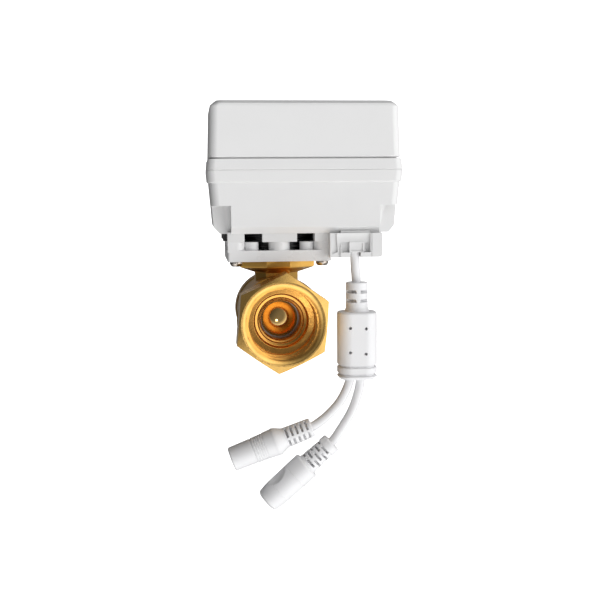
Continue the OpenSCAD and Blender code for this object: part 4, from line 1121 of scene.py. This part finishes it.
def build_splitter():
    """Moulded splitter: a ribbed neck on a rounded block with two grooves and four dimples."""
    low = SPLITTER_LOW.z
    high = SPLITTER_SHOULDER_Z
    groove = 0.9
    stations = [
        ((2.6, low), 0), ((0.9, low), 0.5), ((0, low + 0.9), 0.6), ((0, low + 1.2), 0.05),
        ((groove, low + 1.45), 0.1), ((groove, low + 2.2), 0.1), ((0, low + 2.35), 0.12),
        ((0, low + 4.3), 0.12), ((groove, low + 4.45), 0.1), ((groove, low + 5.2), 0.1),
        ((0, low + 5.35), 0.12), ((0, high), 0.9), ((2.6, high), 0),
    ]
    body = loft("split", [splitter_ring(inset, z) for inset, z in fillet(stations, 4)])
    mid_x = (SPLITTER_LOW.x + SPLITTER_HIGH.x) / 2
    add(body, splitter_neck(mid_x))
    for x, z in ((-3.2, -2.6), (2.5, -2.9), (-3.2, -11.4), (2.4, -12.0)):
        dimple = lathe("dimple", [(0.66, -0.5), (0.56, 0.2), (0.5, 2.2)], 20,
                       Matrix.Translation((mid_x + x, SPLITTER_LOW.y, z)) @ ALONG_PIPE)
        cut(body, dimple)
    cut(body, cylinder("cable_hole", SPLITTER_CABLE_X, CABLE_Y, -6.2, SPLITTER_HIGH.z + 1,
                       CABLE_HOLE_R, 32))
    for x in (LEAD_A_ROUTE[0][0], LEAD_B_ROUTE[0][0]):
        cut(body, cylinder("lead_hole", x, CABLE_Y, low - 1, -11.8, CABLE_HOLE_R, 32))
    place(body, "cable_plastic", SPLITTER_SKIN, "splitter")
    return body


# ---------- connectors

def connector_place(tip, angle):
    """From a connector drawn along +Z from its tip to its place; its -X side faces up-left."""
    return (Matrix.Translation((tip[0], CABLE_Y, tip[1]))
            @ Matrix.Rotation(math.radians(90 - angle), 4, "Y"))


def relief_slot(z, high, inner, start, end):
    """Part of a ring that is cut out of a strain relief, between two angles in degrees."""
    outer = 6.0
    plan = arc((0, 0), outer, start, end, 20) + arc((0, 0), inner, end, start, 20)
    return prism("slot", plan, z, z + high)


RELIEF_CORE_R = 2.05


def finish_connector(solid, bore_low, bore_high, place_at, node):
    """Opens both ends of a connector for the metal sleeve and the lead, and puts it in place."""
    sleeve_r = 3.52
    lead_r = CABLE_D / 2 + 0.03
    cut(solid, lathe("socket", [(sleeve_r, -1), (sleeve_r, 11.2)], 48),
        lathe("bore", [(lead_r, bore_low), (lead_r, bore_high)], 32))
    solid.data.transform(connector_place(*place_at))
    return place(solid, "cable_plastic", CABLE_SKIN, node)


def build_connector_a():
    """Barrel with fine rings, a collar, and a relief whose slots leave a spine on each side."""
    stations = [
        ((0, 0), 0), ((3.9, 0), 0.2), ((4.45, 0.35), 0.3), ((4.62, 8.3), 0), ((4.42, 8.45), 0.05),
        ((4.42, 8.75), 0.05), ((4.75, 8.95), 0.1)]
    groove = 0.22
    for k in range(5):
        z = 9.5 + 0.85 * k
        radius = 4.78 + 0.03 * k
        stations += [((radius, z), 0.05), ((radius - groove, z + 0.14), 0.05),
                     ((radius - groove, z + 0.3), 0.05), ((radius, z + 0.42), 0.05)]
    stations += [((5.05, 16.4), 0.3), ((5.2, 17.1), 0.4), ((5.0, 18.0), 0.5), ((4.0, 20.2), 0.6),
                 ((3.75, 20.9), 0.3), ((3.5, 31.0), 0.25), ((3.1, 31.4), 0.2), ((0, 31.4), 0)]
    solid = lathe("grip_a", fillet(stations, 3), 72)
    for k in range(5):
        z = 21.5 + 1.9 * k
        for start, end in ((194, 262), (276, 344), (16, 82), (98, 166)):
            cut(solid, relief_slot(z, 0.8, RELIEF_CORE_R, start, end))
    soften(solid, 0.1, 2, 40)
    return finish_connector(solid, 23.2, 33, CONNECTOR_A, "connector_a")


def thumb_scoop(radius, middle):
    """Ball-shaped tool that leaves a shallow scoop."""
    profile = [(max(0.001, x), z) for x, z in arc((0, 0), radius, -90, 90, 24)]
    return lathe("scoop", profile, 64, Matrix.Translation(middle))


def build_connector_b():
    """Rounder grip with a thumb scoop and a relief of staggered ribs behind a shoulder."""
    stations = [
        ((0, 0), 0), ((3.7, 0), 0.3), ((4.5, 0.6), 0.5), ((4.85, 3.2), 0.5), ((5.0, 5.8), 0.05),
        ((4.85, 5.95), 0.05), ((5.03, 6.1), 0.05), ((5.14, 13.8), 0.05), ((4.98, 13.95), 0.05),
        ((5.16, 14.1), 0.05), ((5.2, 18), 0.4), ((5.2, 19.3), 0.2), ((4.9, 19.8), 0.15),
        ((4.1, 19.9), 0.1), ((3.9, 20.5), 0.2), ((3.5, 29.0), 0.1), ((3.75, 29.4), 0.2),
        ((3.72, 31.6), 0.2), ((3.4, 32), 0.2), ((0, 32), 0)]
    solid = lathe("grip_b", fillet(stations, 4), 72)
    cut(solid, thumb_scoop(7.0, (-10.3, -3.5, 8.8)))
    for k in range(5):
        z = 21.1 + 1.75 * k
        shift = 34 if k % 2 else 0
        for start in (150, 232, 330, 52):
            cut(solid, relief_slot(z, 0.85, RELIEF_CORE_R, start + shift, start + 62 + shift))
    soften(solid, 0.1, 2, 40)
    cut(solid, block("seam", (4.2, -3.4, -1), (6, -3.15, 18.2)))
    return finish_connector(solid, 23.6, 34, CONNECTOR_B, "connector_b")


# ---------- nodes kept from CAD

KEPT = [
    (POLISHED, "ball"),
    (SEAT, "seat_front seat_rear stem_washer"),
    (RUBBER, "cap_seal stem_rings cover_gasket shaft_seal"),
    (CHROME, "stem output_shaft axle_one axle_two motor_shaft socket_sleeve_a socket_sleeve_b"),
    (SCREW, "flange_screws cover_screws plate_screws motor_screws"),
    (BRONZE, "shaft_bush"),
    (TURNED_BRASS, "motor_pinion"),
    (GEAR, "output_gear idler_gear_one idler_gear_two"),
    (ZINC, "lower_plate upper_plate plate_spacers motor_can"),
    (GOLD, "motor_terminals socket_pin_a socket_pin_b"),
    (BLACK, "motor_end_cap switch_closed switch_open capacitor"),
    (RED, "plunger_closed plunger_open"),
    (BLUE, "switch_cam relay"),
    (BOARD, "circuit_board"),
    (GROMMET_SKIN, "board_posts"),
    (GREEN, "terminal_block"),
    (WIRE, "motor_wires supply_wires"),
]


def paint_kept_nodes():
    """Gives the CAD nodes that stay in view their materials."""
    for material, nodes in KEPT:
        for node in nodes.split():
            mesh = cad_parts[node].data
            mesh.materials.clear()
            mesh.materials.append(material)


# ---------- making

set_camera()
set_studio()
cable, cable_length = cord("cable", CABLE_ROUTE, "power_cable")
first_lead, first_length = cord("first_lead", LEAD_A_ROUTE, "lead_a")
second_lead, second_length = cord("second_lead", LEAD_B_ROUTE, "lead_b")
paint_kept_nodes()
build_cover()
build_base()
build_bracket()
build_lock_ring()
build_bracket_screws()
build_end_cap()
build_valve_body()
build_grommet()
split = build_splitter()
socket_a = build_connector_a()
socket_b = build_connector_b()
